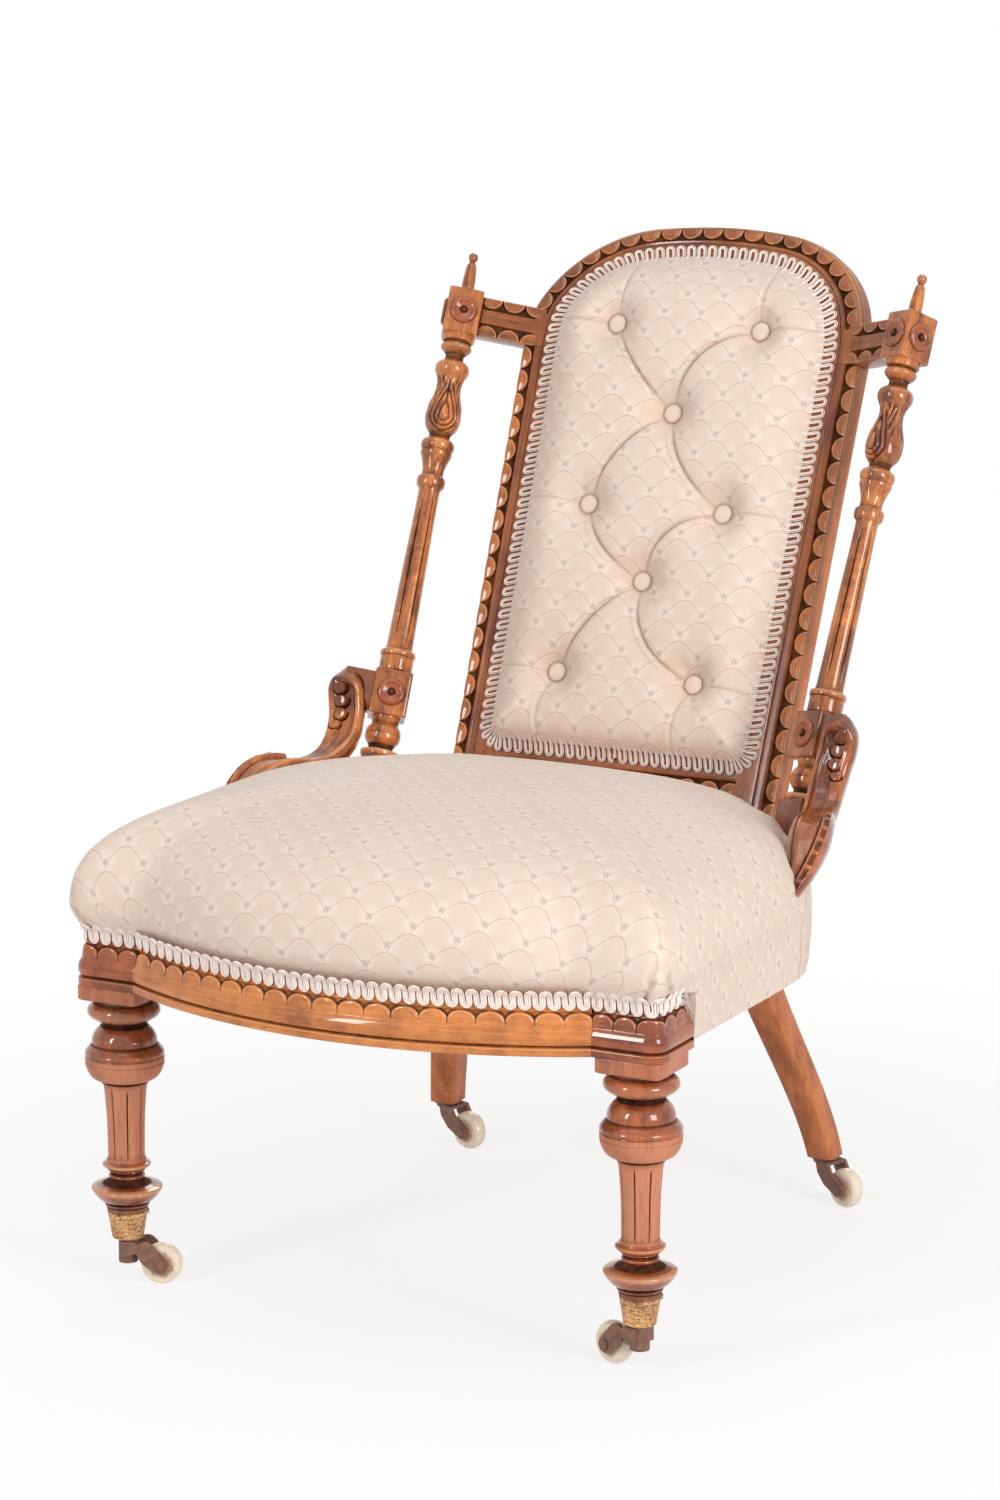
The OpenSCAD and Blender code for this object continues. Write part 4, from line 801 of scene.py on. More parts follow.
column = turning(POST_LINE, 132, 5, carve=post_cut)
tip = moved(turning(FINIAL_LINE, 40, 4), move=(0, 0, 469.5))
low_block = cushioned_block(36, 36, 39, 83, 1.5)
high_block = cushioned_block(34, 34, 424.5, 471.5, 1.3, dome=2.0)
stub = darker(cushioned_block(34, 34, -50, 0.4, 1.3), 0.95)
roundel = dish(13.5)
bosses = [moved(roundel, move=(0, -17, 447)), moved(roundel, turn=turn_about("z", 90), move=(17, 0, 447)),
          moved(roundel, move=(0, -18, 61))]
for side, word in SIDES:
    shaded_block = darker(low_block, 0.55 if side > 0 else 0.15)
    for name, parts, wood, slot, node, sharp in (
            ("turned_post_", (column, shaded_block, high_block, stub), POST_WALNUT, "walnut", "post_", 42),
            ("turned_finial_", (tip,), POST_WALNUT, "walnut", "finial_", 40),
            ("rosette_", bosses, ROSETTE_WALNUT, "walnut_dark", "rosettes_", 40)):
        parts = [moved(part, POST_FRAME, POST_FOOT, side < 0) for part in parts]
        piece(name + word, parts, wood, [node + word], sharp)


# Arm brackets
# Carved walnut scroll on each side: a round head against the post's lower block, a strip that hangs and
# sweeps forward over the seat's edge, and a leaf-shaped toe; a groove follows its inner edge. A tenon goes
# down from it into the seat.

# Place of the middle line, half thickness, width, and turn of the face about the upright.
BRACKET = np.array([
    [254.5, 107, 486, 9, 4, -4], [254.5, 108, 483, 9, 17, -4], [254.4, 108.4, 478, 9, 27, -4],
    [254.2, 108.6, 471, 9, 34, -4], [253, 107.5, 458, 9, 35.5, -3], [250.5, 103, 444, 9, 35, -2],
    [249.5, 90, 423, 9.5, 33.5, 2], [254, 66, 408, 10, 32, 6], [262, 38, 404, 10.5, 33, 10],
    [272, 10, 408, 11.5, 37, 14], [280, -18, 401, 11.5, 38, 16], [284, -43, 386, 9.5, 31, 16],
    [285, -60, 370, 6, 18, 16], [285.5, -69, 360, 2.5, 5, 16]])
# The carved discs of the head: how far along and across, and their radius.
DISCS = ((15, 21.2, 7.2), (29.5, 20.2, 7.0), (43, 21.6, 6.8), (55.5, 25.5, 5.4))
DARK_WALNUT = walnut("dark_walnut", (0.50, 0.14, 0.038), (0.12, 0.026, 0.010), (0.012, 0.006, 0.004),
                     (0.80, 0.40, 0.20), 0.16, 1.2, 0.95)


def spline(stations, count):
    """Values along a smooth line through the stations, by even steps of its length: a cubic through each
    pair with the slope of its neighbours."""
    t = walked(stations[:, :3])
    slope = np.gradient(stations, t, axis=0)
    at = np.linspace(0, t[-1], count)
    i = np.clip(np.searchsorted(t, at, "right") - 1, 0, len(t) - 2)
    h = (t[i + 1] - t[i])[:, None]
    return cubic(stations[i], stations[i + 1], slope[i] * h, slope[i + 1] * h, (at - t[i])[:, None] / h), at


def bracket():
    """Right bracket: rows along its line, columns round a flat section. The face carries a bead line beside
    its inner edge, four discs in a hollow, and on the toe a row of slots along the outer edge."""
    line, along = spline(BRACKET, 300)
    mid, half_thick, width, turn = line[:, :3], line[:, 3:4], line[:, 4:5], np.radians(line[:, 5:6])
    ahead = unit(np.gradient(mid, axis=0))
    out = join(np.cos(turn), np.sin(turn), 0 * turn, axis=1)
    out = unit(out - ahead * (out * ahead).sum(1, keepdims=True))
    face = np.cross(ahead, out)[:, None]
    v = np.linspace(-1, 1, 60)
    a = along[:, None]
    mm = (v + 1) / 2 * width
    rim_gap = width - mm
    fade = smooth((a - 7) / 8)
    solid = smooth((mm - 20.5) / 1.6)
    relief, dirt = 0 * mm, 0 * mm
    for centre, across, size in DISCS:
        gap = np.hypot(a - centre, mm - across)
        disc = smooth((size - gap) / 1.0)
        moat = hill(gap, size + 0.5, 0.9) * smooth((a - centre + 4) / 5) * (mm < across + 6.5) * (1 - disc)
        relief = relief * (1 - disc) + moat * 2.2 - disc * (0.5 + 0.6 * limit(1 - (gap / size) ** 2))
        dirt = dirt * (1 - disc) + moat
        solid = np.maximum(solid, disc)
    toe = smooth((a - 140) / 3)
    solid = np.maximum(solid * (1 - smooth((a - 62) / 30)), toe * smooth((11.0 - rim_gap) / 1.2))
    hollow = (1 - solid) * smooth((mm - 6.0) / 2.5) * fade * smooth((width - 9) / 10)
    bead_line = hill(mm, 6.2, 0.7) * fade * smooth((width - 7) / 8)
    slot = smooth((0.42 - np.abs(((a - 142) / 13.5) % 1 - 0.5)) / 0.07) * toe
    slot = slot * smooth((2.6 - np.abs(rim_gap - 5.8)) / 0.9)
    ledge = hill(a, 139, 1.6) * smooth((rim_gap - 2) / 2) * smooth((16 - rim_gap) / 3)
    toe_line = hill(rim_gap, 11.8, 0.8) * toe * smooth((width - 12) / 8)
    relief = (relief + hollow * 3.4 + toe_line * 0.8 + bead_line + slot * 2.0 + ledge * 1.6
              - toe * np.exp(-((rim_gap - 5.6) / 4.4) ** 4) * 1.8)
    # Dirt and painted shade in the cuts round the discs, the bead line, the slots, the ledge, the toe's line
    # and the hollow.
    dirt = limit(dirt + bead_line * 0.9 + slot * 0.6 + ledge + toe_line * 0.9
                 + 0.35 * hollow * hill(mm, 18, 3.0))
    worn = limit(0.6 * hill(mm, 2.6, 1.3) * fade)
    round_edge = 1 - np.sqrt(limit(1 - limit(1 - limit(1 - np.abs(v)) * 3.2) ** 2))
    ridge = 0.35 * (1 - v**2) * smooth((a - 150) / 30)
    lift = half_thick * (1 - 0.75 * round_edge + ridge) - relief
    w = np.linspace(1, -1, 22)[1:-1]
    under = half_thick * (1 - 0.85 * (1 - np.sqrt(limit(1 - np.abs(w) ** 4))))
    raised = join(lift, -under, axis=1)
    points = mid[:, None] + out[:, None] * (join(v, w) * width / 2)[..., None] + face * raised[..., None]
    grain = pack(a, join(mm, np.tile(w * 17, (len(a), 1)), axis=1), raised)
    return grid(points, grain=grain, dirt=carried(dirt, len(w)), worn=carried(worn, len(w)))


tenon = moved(cushioned_block(12, 20, 0, 64, 1.0, 6), turn=turn_about("y", 4), move=(267.5, -19, 327))
for side, word in SIDES:
    piece("arm_bracket_carving_" + word, [moved(part, mirror=side < 0) for part in (bracket(), tenon)],
          DARK_WALNUT if side > 0 else POST_WALNUT, ["arm_bracket_" + word], sharp=50)


# Looped braid
# A cotton gimp of three cords that run side by side in a close serpentine; it is tacked over the edge
# of the cloth, along the rail and round the padded panel of the back. The right end on the seat is frayed.

# Width, height of its lower edge on the rail, and how far it stands off the wood there.
BRAID_W, BRAID_LOW, LIFT = 18.0, RAIL_TOP - 11.0, 1.6
# Radius of a cord, and how far each cord lies from the middle one.
FRONT_CORDS = 0.90, (-1.74, 0.0, 1.74)
BACK_CORDS = 0.50, (-1.45, -0.12, 0.80)


def read_off(at, walk, line):
    """Points at some lengths along a line, between the line's own points."""
    return pack(*(np.interp(at, walk, column) for column in line.T))


def serpentine(length, pitch, slant, cords):
    """Middle lines of the braid's three cords, laid out flat: how far along, how far across and how high. The
    middle cord goes straight across, round a half circle and back, all slanted, and the other two keep
    beside it on its normal; every second leg lies a little higher than its neighbours."""
    turns = round(length / pitch)
    bend = length / turns / 4
    radius, gaps = cords
    half = BRAID_W / 2 - bend - max(gaps) - radius
    leg = np.linspace(-half, half, 6)[:-1]
    angle = np.linspace(math.pi, 0, 9)[:-1]
    along = join(0 * leg, bend + bend * np.cos(angle), 2 * bend + 0 * leg, 3 * bend + bend * np.cos(angle))
    across = np.tile(join(leg, half + bend * np.sin(angle), -leg, -half - bend * np.sin(angle)), turns)
    along = (along + 4 * bend * np.arange(turns)[:, None]).ravel()
    high = 0.5 + 0.5 * np.cos(2 * math.pi * (along / (4 * bend)))
    along = along - slant * across
    line = pack(along, across)
    step = np.roll(line, -1, axis=0) - np.roll(line, 1, axis=0)
    step[0], step[-1] = step[1], step[-2]
    step = unit(step)
    return [(along - step[:, 1] * off, across + step[:, 0] * off, high + 0.25 * (1 - abs(off) / max(gaps)))
            for off in gaps]


def tube(line, radius, sides=6, shade=0.0):
    """Round cord along a line of points; its section is set square to the line from one fixed direction."""
    ahead = unit(np.gradient(line, axis=0))
    flat = unit(np.cross(ahead, [0.31, 0.87, -0.38]))
    turn = circle(sides)
    points = line[:, None] + radius * (np.cos(turn)[:, None] * flat[:, None]
                                       + np.sin(turn)[:, None] * np.cross(ahead, flat)[:, None])
    return grid(points, cord=pack(walked(line)[:, None], turn * radius, 0.0), shade=shade)


def braid_along(path, inward, out, climb, pitch, slant, cords, shade):
    """The braid laid on a path: along it, across by the inward direction, and up by the outward one. Past the
    edge of the cloth, 11 mm in, it climbs the padding by climb millimetres for each one."""
    walk = walked(path)
    tubes = []
    for lean, across, high in serpentine(walk[-1], pitch, slant, cords):
        at = np.clip(lean, 0, walk[-1])
        where, side, up = (read_off(at, walk, field) for field in (path, inward, out))
        from_edge = across + BRAID_W / 2
        rise = np.interp(at, walk, climb) * np.clip(from_edge - 11.0, 0, None)
        line = where + side * from_edge[:, None] + up * (high + rise + cords[0])[:, None]
        tubes.append(tube(line, cords[0], shade=np.interp(at, walk, shade)[:, None]))
    return tubes


def cotton_braid():
    """Off-white mercerised cotton: a fine twist round each cord, dust, and painted shade where the mark shade
    is set, mottled by the dust.
    """
    w = finish("cotton_braid")
    cord = w.mark("cord", 1)
    twist = (cord.axis(0) * 2.0 + cord.axis(1)).wave(2600.0)
    dust = w.place().noise(45.0).between(0.35, 0.75)
    colour = layered((0.93, 0.82, 0.745), ((0.80, 0.665, 0.58), twist * 0.35 + dust * 0.25),
                     ((0.46, 0.36, 0.30), w.mark("shade") * (dust * 0.5 + 0.5)))
    return coat(w, colour, 0.62, twist, 0.00012, **{"Sheen Weight": 0.25, "Sheen Roughness": 0.5})


def on_block(depth):
    """Line of the braid round a corner block: along its front, round its corner, and back along its side."""
    angle, radius = quarter(10)[1:-1], TURN_R + depth
    return join(pack(np.linspace(JOINT_X, CORNER, 20), BLOCK_FRONT - depth),
                pack(CORNER + radius * np.sin(angle), BLOCK_FRONT + TURN_R - radius * np.cos(angle)),
                pack(CORNER + radius, np.linspace(BLOCK_FRONT + TURN_R, BLOCK_REAR - 8, 14)))


BRAID = cotton_braid()
swing = np.linspace(-reach, reach, 120)[1:-1]
right = on_block(LIFT)
plan = join((right * [-1, 1])[::-1], [0, BOW_Y] + (BOW_R + LIFT) * pack(np.sin(swing), -np.cos(swing)), right)
along = unit(np.gradient(plan, axis=0))
path = pack(*plan.T, BRAID_LOW)
level = np.full(len(plan), 0.75)
cords = braid_along(path, np.tile([0.0, 0, 1], (len(plan), 1)), pack(along[:, 1], -along[:, 0], 0), level,
                    12.1, 0.1, FRONT_CORDS, 0 * level)

# The frayed end: loose threads from the right end of the braid, that stray and hang.
threads = []
random = np.random.default_rng(7)
for _ in range(34):
    root = path[-1] + [1.8 + random.uniform(0, 2.2), random.uniform(-7, 2), random.uniform(1, 17)]
    far = np.linspace(0, random.uniform(7, 17), 7)[:, None]
    way = np.array([random.uniform(0, 0.22), 0.7, random.uniform(-1.0, 0.35)])
    stray = random.normal(0, 0.25, (7, 3)) * [0.4, 1, 1]
    threads.append(tube(root + far * way - far**2 * [0, 0, 0.035] + stray, 0.22, 4))
piece("seat_braid", cords + threads, BRAID, ["seat_gimp"], sharp=180)

# How much of the frame's face shows round the panel, and the panel's lower edge and lower corners.
SHOW, PANEL_LOW, PANEL_CORNER = 24.0, 446.0, 26.0


def panel_line(inset):
    """Outline of the padded panel moved in by inset, from the middle of its lower edge round to there again:
    width and length up the slope, and the inward normals."""
    low, radius = PANEL_LOW + inset, PANEL_CORNER - inset
    half = stile_x(PANEL_LOW) - SHOW - inset
    corner = np.linspace(-math.pi / 2, 0, 24)[1:]
    rise = np.linspace(low + radius, CREST_S, 300)[1:]
    right_half = join(pack(np.linspace(0, half - radius, 100), low),
                      pack(half - radius + radius * np.cos(corner), low + radius + radius * np.sin(corner)),
                      pack(stile_x(rise) - SHOW - inset, rise))
    over, normal, _ = arch_line(700)
    line = join(right_half, (over + normal * (SHOW + inset))[1:-1], (right_half * [-1, 1])[::-1])
    step = np.gradient(line, axis=0)
    step[0], step[-1] = (1, 0), (1, 0)
    step = unit(step)
    return line, pack(-step[:, 1], step[:, 0])


edge, inner = panel_line(0.4)
laid = in_back(*edge.T, swept(edge[:, 1]))
moved_in = edge + inner
into = in_back(*moved_in.T, swept(moved_in[:, 1])) - laid
face_out = in_back(0, 0, 0) - in_back(0, 0, 1)
steeper = 0.75 + 0.5 * smooth((480 - edge[:, 1]) / 20)
# The braid along the panel's lower edge gets painted shade.
cords = braid_along(laid, into, np.tile(face_out, (len(edge), 1)), steeper, 11.0, 0.25, BACK_CORDS,
                    0.35 * smooth((470 - edge[:, 1]) / 16))
piece("back_braid", cords, BRAID, ["back_gimp"], sharp=180)


# Damask cloth
# Cream furnishing damask: fine weft ribs, and a net of fan-shaped cells drawn by broken pinkish lines,
# with a small grey-blue flower in each cell. Both cushions and the covers are cut from it.

# Width of a cell in metres, whose rows are half as high, and from one weft rib to the next.
CELL, RIB = 0.0400, 0.00078


def damask(name, pattern=1.0):
    """Cloth read from the mark 'cloth': metres across and up the cloth. In each row the visible line is the
    rounded top of a cell, so one distance to the cell's middle gives the net; pattern is its strength."""
    w = finish(name)
    cloth = w.mark("cloth", 1)
    flat = cloth.stretched(1, 1, 0)
    ripple = (flat.noise(30.0, 2.0) - 0.5) * 0.05
    across, up = cloth.axis(0) / CELL + ripple, cloth.axis(1) / CELL + ripple
    row = (up * 2.0).math("FLOOR")
    x = (across + row * 0.5).math("FRACT") - 0.5
    y = up - row * 0.5
    aside = x.math("ABSOLUTE")
    span = ((aside * 2.0) ** 1.55 + (y * 2.0) ** 1.55) ** (1 / 1.55)
    line = 1 - (span - 0.975).math("ABSOLUTE").between(0.008, 0.045)
    dashes = flat.noise(420.0, 2.0, 0.6).between(0.4, 0.6)
    fork = (1 - (aside - 0.5).math("ABSOLUTE").between(0.02, 0.075)) * (1 - y.between(0.03, 0.16))
    off = 0.5 - aside
    petal = (off * off + (y - 0.165) * (y - 0.165)) ** 0.5
    leaves = ((off / (y - 0.161)).math("ARCTANGENT") * 5.0).math("COSINE") * 0.022
    flower = 1 - (petal + leaves).between(0.035, 0.085)
    below = (x * x + (y + 0.34) * (y + 0.34)) ** 0.5
    fan = 1 - petal.math("MINIMUM", below).between(0.12, 0.34)
    lip = 1 - (span - 0.905).math("ABSOLUTE").between(0.01, 0.05)
    rib = up.wave(2 * math.pi * CELL / RIB)
    weave = cloth.stretched(900, 2600, 1).noise(1.0, 1.0)
    cloud = w.place().noise(9.0).between(0.3, 0.75)
    colour = layered((0.765, 0.625, 0.52), ((0.72, 0.575, 0.47), cloud),
                     ((0.70, 0.555, 0.455), rib * 0.22 + weave * 0.3),
                     ((0.82, 0.71, 0.62), (fan * 0.42 + lip * 0.3) * pattern),
                     ((0.54, 0.33, 0.225), line * (dashes * 0.5 + 0.3) * pattern),
                     ((0.84, 0.73, 0.64), fork * 0.4 * pattern),
                     ((0.42, 0.365, 0.315), flower * 0.62 * pattern),
                     # Painted shade in the creases, pleats, seams and wells and round the buttons, as the
                     # mesh marks it.
                     ((0.40, 0.27, 0.20), w.mark("crease") * 0.72))
    height = rib * 0.35 + line * 0.35 * pattern + flower * 0.4 * pattern + weave * 0.5
    return coat(w, colour, 0.74 - fan * 0.06 - line * 0.06, height, 0.00022,
                **{"Sheen Weight": 0.18, "Sheen Roughness": 0.45, "IOR": 1.4})


DAMASK = damask("cream_damask")
PLAIN_DAMASK = damask("button_damask", 0.25)


def blended(values, old, count):
    """Rows kept at the old places, spread over all places up to count by straight blends; past the last old
    place its row goes on."""
    new = np.minimum(np.arange(count), old[-1])
    i = np.clip(np.searchsorted(old, new, "right") - 1, 0, len(old) - 2)
    t = ((new - old[i]) / (old[i + 1] - old[i]))[:, None, None]
    return values[i] * (1 - t) + values[i + 1] * t


def settled(surface, held, steps, most, ring):
    """How far each point of a surface moves, up to most millimetres, when Blender's Cloth swells it from
    behind. The cloth is made of every few rows and columns, and held at its points by the shares given."""
    rows, columns = (np.arange(0, size, step) for size, step in zip(surface.shape, steps))
    coarse = surface[rows][:, columns]
    held = held[rows][:, columns].ravel()
    form = grid(coarse, ring=ring, ends="open")
    mesh = bpy.data.meshes.new("sewn")
    mesh.from_pydata((form["points"] / 1000).tolist(), [], form["quads"].tolist())
    sewn = put_in("sewn", mesh)
    group = sewn.vertex_groups.new(name="held")
    for amount in np.unique(held).tolist():
        group.add(np.flatnonzero(held == amount).tolist(), amount, "REPLACE")
    cloth = sewn.modifiers.new("cloth", "CLOTH")
    cloth.settings.quality = 6
    cloth.settings.vertex_group_mass = "held"
    cloth.settings.pin_stiffness = 4
    cloth.settings.tension_stiffness = cloth.settings.compression_stiffness = 25
    cloth.settings.bending_stiffness = 1.2
    cloth.settings.use_pressure = True
    cloth.settings.uniform_pressure_force = 3
    cloth.settings.effector_weights.gravity = 0
    cloth.collision_settings.use_collision = False
    cloth.collision_settings.use_self_collision = False
    for step in range(1, 21):
        scene.frame_set(step)
    final = sewn.evaluated_get(bpy.context.evaluated_depsgraph_get()).to_mesh()
    after = np.zeros(len(form["points"]) * 3, np.float32)
    final.vertices.foreach_get("co", after)
    move = after.reshape(-1, 3) * 1000 - form["points"]
    bpy.data.objects.remove(sewn)
    scene.frame_set(1)
    size = np.linalg.norm(move, axis=1, keepdims=True)
    shift = (move * np.minimum(1, most / np.maximum(size, 1e-6))).reshape(coarse.shape)
    if ring:
        shift, columns = join(shift, shift[:, :1], axis=1), np.append(columns, surface.shape[1])
    down = blended(shift, rows, surface.shape[0])
    return np.swapaxes(blended(np.swapaxes(down, 0, 1), columns, surface.shape[1]), 0, 1)


# Seat
# Overstuffed seat on webbing and springs: cloth over hair and wadding, drawn down over the rails, pleated
# at the front corners and tacked under the braid. The side covers run on down over the side rails.

BASE, WALL_H, SWELL, SHOULDER_H, SHOULDER_REACH, CROWN_H = 325.8, 26, 8.0, 75.0, 75.0, 52.0
SEAT_MID = np.array([0.0, -99.0])
# Lower edge of the side covers, and the seam on the seat's sides: how far back it is and where it ends above.
SIDE_LOW, SEAM_Y, SEAM_TOP = 283.0, -42.0, 368
# Right side of the padding on plan, from the front block to the back leg.
SEAT_SIDE = [(240, -328), (262, -328), (279, -326), (283, -308), (284, -285), (284, -220), (284, -150),
             (284, -80), (282, -28), (270, 4), (255, 44), (233, 92), (219, 118)]
COLUMNS = 720


def cut_corners(points, times):
    """Closed outline with each corner cut at a quarter of both sides, a number of times."""
    for _ in range(times):
        after = np.roll(points, -1, axis=0)
        points = np.stack([0.75 * points + 0.25 * after, 0.25 * points + 0.75 * after], 1).reshape(-1, 2)
    return points


def even(points, count):
    """Closed outline with its points spaced evenly."""
    closed = join(points, points[:1])
    walk = walked(closed)
    return read_off(np.linspace(0, walk[-1], count, endpoint=False), walk, closed)


def seat_plan():
    """Outline of the padding on plan: the bow of the rail, both blocks, the sides and the straight back."""
    x = np.linspace(0, 205, 14)
    rear = PLANE_Y + BASE * math.tan(LEAN) - 0.5
    half = join(pack(x, BOW_Y - np.sqrt((BOW_R + 1) ** 2 - x**2)), SEAT_SIDE,
                [(196, rear), (150, rear), (75, rear)])
    return even(cut_corners(join(half, [[0, rear]], (half[1:] * [-1, 1])[::-1]), 3), COLUMNS)


def plan_out(plan):
    """Outward directions at the points of a closed outline."""
    step = np.roll(plan, -1, axis=0) - np.roll(plan, 1, axis=0)
    return unit(pack(step[:, 1], -step[:, 0]))


def from_stretch(points, first, run):
    """The share of a straight stretch that lies before its nearest place to each point, the way from there to
    the point, and the length of that way."""
    share = limit((points - first) @ run / (run @ run))
    gap = points - first - share[..., None] * run
    return share, gap, np.hypot(gap[..., 0], gap[..., 1])


def edge_distance(points, line, skip):
    """Shortest distance of points from the closed line, leaving out the stretches marked skip."""
    keep = ~(skip & np.roll(skip, -1))
    best = np.full(points.shape[:-1], np.inf)
    for first, last in zip(line[keep], np.roll(line, -1, axis=0)[keep]):
        best = np.minimum(best, from_stretch(points, first, last - first)[2])
    return best


def seat_form(wall, shares):
    """Rings of the seat's surface: first the wall, which swells out over the rail, then shares of the plan
    towards the middle. The height over the edge follows a rounded shoulder, plus a dome."""
    plan = seat_plan()
    normal = plan_out(plan)
    # rear is the straight edge between the stiles. The swelling fades out to none there by hold, is less by
    # slim along the rear of the sides, and starts further in, behind the braid, where tucked is 1.
    rear = (np.abs(plan[:, 0]) < 178) & (plan[:, 1] > 60)
    hold = 1 - smooth((plan[:, 1] - 92) / 34)
    slim = 13 * smooth((plan[:, 1] + 100) / 230) * hold
    tucked = 1 - smooth((plan[:, 1] - BLOCK_REAR + 18) / 16)
    start = 1.5 - 8.0 * tucked
    height = wall[:, None]
    bend = np.sin(limit(height / WALL_H) * math.pi / 2)
    roll = tucked * bend + (1 - tucked) * bend**2
    out = start + (SWELL - start) * roll - slim * smooth(height / 30)
    low = plan + normal * (out * hold)[..., None]
    wide = plan + normal * ((SWELL - slim) * hold)[:, None]
    share = shares[:, None]
    top = SEAT_MID + share[..., None] * (wide - SEAT_MID)
    gap = limit(edge_distance(top, wide, rear) / SHOULDER_REACH)
    shoulder = (1 - (1 - gap) ** 2.6) ** (1 / 2.6)
    up = WALL_H + (SHOULDER_H - WALL_H) * shoulder + CROWN_H * (1 - share**3)
    x, y = np.moveaxis(join(low, top), -1, 0)
    fall = 0.115 + 0.114 * (x / 190) ** 2
    z = BASE + join(height + 0 * out, up) * (1 - smooth((y + 100) / 230) * fall)
    near_edge = join(np.ones_like(height), share) ** 3
    lean_back = np.minimum((z - BASE) * math.tan(LEAN) * near_edge, PLANE_Y + z * math.tan(LEAN) - 0.5 - y)
    return pack(x, y + np.where(rear, lean_back, 0), z)


def extra_length(points):
    """How much longer the way from the seat's middle to each point is over the cloth than on plan."""
    steps = np.linalg.norm(np.diff(points, axis=0), axis=2)
    over = join(np.cumsum(steps[::-1], axis=0)[::-1], 0 * steps[:1])
    far = np.linalg.norm(points[..., :2] - SEAT_MID, axis=-1)
    return over + far[-1:] - far


def cloth_on_seat(points, extra):
    """Place on the cloth: the place on plan, moved on by the extra length, which counts ahead over the front
    and aside over the sides; the cube of the direction keeps the turn between them to the corners."""
    place = points[..., :2] + unit((points[..., :2] - SEAT_MID) ** 3, 1.0) * extra[..., None]
    return pack(place[..., 0], place[..., 1], 0)


def pleat(points):
    """Two pleats at each front corner, where the cloth's fullness is folded under: narrow grooves that run
    up the corner and fade out; gives how deep each point lies in one."""
    x, y, z = np.abs(points[..., 0]), points[..., 1], points[..., 2]
    turn = np.degrees(np.arctan2(x - 236, -(y + 276)))
    deep = 0 * z
    for angle, tall, lean in ((33.0, 46.0, 0.16), (58.0, 42.0, -0.34)):
        off = turn - angle - lean * (z - BASE)
        fade = smooth((BASE + tall - z) / 22) * smooth((x - 245) / 12)
        deep = deep + fade * (hill(off, 0, 1.7) - 0.45 * hill(off, 5, 3.2))
    return deep


def at_seam(points):
    """Where points lie on the seam that goes over the seat's sides."""
    return np.abs(points[..., 1] - SEAM_Y) < 1.5


seat = seat_form(np.arange(0, 25, 3), join(1 - 0.0008 * np.arange(10) ** 1.75, np.linspace(0.955, 0.06, 110)))
held = np.where(np.arange(len(seat))[:, None] < 4, 1.0, 0.25)
held = np.where((seat[..., 1] > 100) & (np.abs(seat[..., 0]) < 200), 1.0, held)
seat = seat + settled(seat, held, (3, 5), 5.0, True)
extra = extra_length(seat)
cloth_place = cloth_on_seat(seat, extra)
normal = unit(np.cross(np.roll(seat, -1, axis=1) - np.roll(seat, 1, axis=1), np.gradient(seat, axis=0)))
normal *= np.sign((normal * (seat - [0, -99, 300])).sum(-1, keepdims=True))
deep = pleat(seat)
gather = 0.25 * np.sin(np.arange(COLUMNS) * 2 * math.pi / 19) * hill(seat[..., 2], BASE, 9)
seat = seat - normal * (deep * 2.6 + gather)[..., None]
# The seam runs up the columns that start at it on either side, and stays on the steep part of the side.
seam = at_seam(seat[0]) & (seat[..., 2] < SEAM_TOP) & (np.abs(seat[..., 0]) > 268)
# The cloth is painted with shade in the pleats and a dark line along the seam.
made = piece("seat_stuffing_cloth", [grid(seat, cloth=cloth_place, crease=limit(deep) + 0.75 * seam)],
             DAMASK, ["seat_cushion"], sharp=75)

# The right side cover goes from the corner block back to the stile; the left one is its mirror image.
plan = seat_plan()
on_side = (plan[:, 0] > 177) & (plan[:, 1] > BLOCK_REAR) & (np.arange(COLUMNS) < COLUMNS / 2)
flank, outward = plan[on_side], plan_out(plan)[on_side]
angle = quarter(6)
levels = join(SIDE_LOW + 2 * (1 - np.cos(angle)), np.linspace(286, BASE + 0.6, 22))
out = join(-2 * (1 - np.sin(angle)), smooth(np.linspace(0, 1, 22)) * 1.5)
out = out + 0.8 * np.sin(limit((levels - 286) / 38) * math.pi)
tuck = 1.2 * (1 - limit((flank[:, 1:] - BLOCK_REAR) / 3)) ** 2
spread = flank[:, None] + outward[:, None] * carried(out - tuck, 6, -4.0)[..., None]
cover = pack(spread[..., 0], spread[..., 1], join(levels, np.linspace(BASE + 0.6, SIDE_LOW, 6)))
cover = grid(cover, cloth=cloth_on_seat(cover, extra[0, on_side, None] + BASE - cover[..., 2]),
             crease=0.75 * at_seam(cover))
for side, word in SIDES:
    made = piece("side_cover_" + word, [moved(cover, mirror=side < 0)], DAMASK,
                 ["seat_side_cover_" + word], sharp=60)

# The seat's back cover is a thin pad behind the frame's face, with rounded edges above and below.
across = np.linspace(-RAIL_HALF, RAIL_HALF, 60)
up = join(FOOT_S + 1.2 * (1 - np.cos(quarter(5))), np.linspace(304, 423, 40),
          427 - 4 * np.cos(np.linspace(0, 1.57, 6))[1:])[:, None]
curl = 1 - np.sqrt(1 - limit((up - 423) / 4) ** 2)
depth = 27.0 - 1.2 * limit((304 - up) / 3) + 1.6 * np.sin(limit((up - FOOT_S) / 126) * math.pi) - 3.4 * curl
depth = depth - 1.6 * (1 - smooth((RAIL_HALF - np.abs(across)) / 5))
back_across = across[::-6]
shell = join(in_back(across, up, depth), in_back(back_across, up, 23.4), axis=1)
made = piece("seat_back_cloth", [grid(shell, cloth=pack(join(across, back_across), up, 0), crease=0.0)],
             DAMASK, ["seat_back_cover"], sharp=60)


# Buttoned back
# Padded panel of the back: hair and wadding under the damask, drawn in by eight covered buttons; the
# fullness between them lies in folds, each a sharp crease with a rounded lip on its upper side.

# How far the pad lies in from the frame's outer edge, its height over the frame, and the buttons' depth.
INSET, CROWN, TUFT = 36.8, 27.0, 19.0
BUTTONS = np.array([(75, 870), (-75, 870), (0, 785), (70, 691), (-70, 691), (0, 620), (71, 526), (-71, 526)],
                   float)
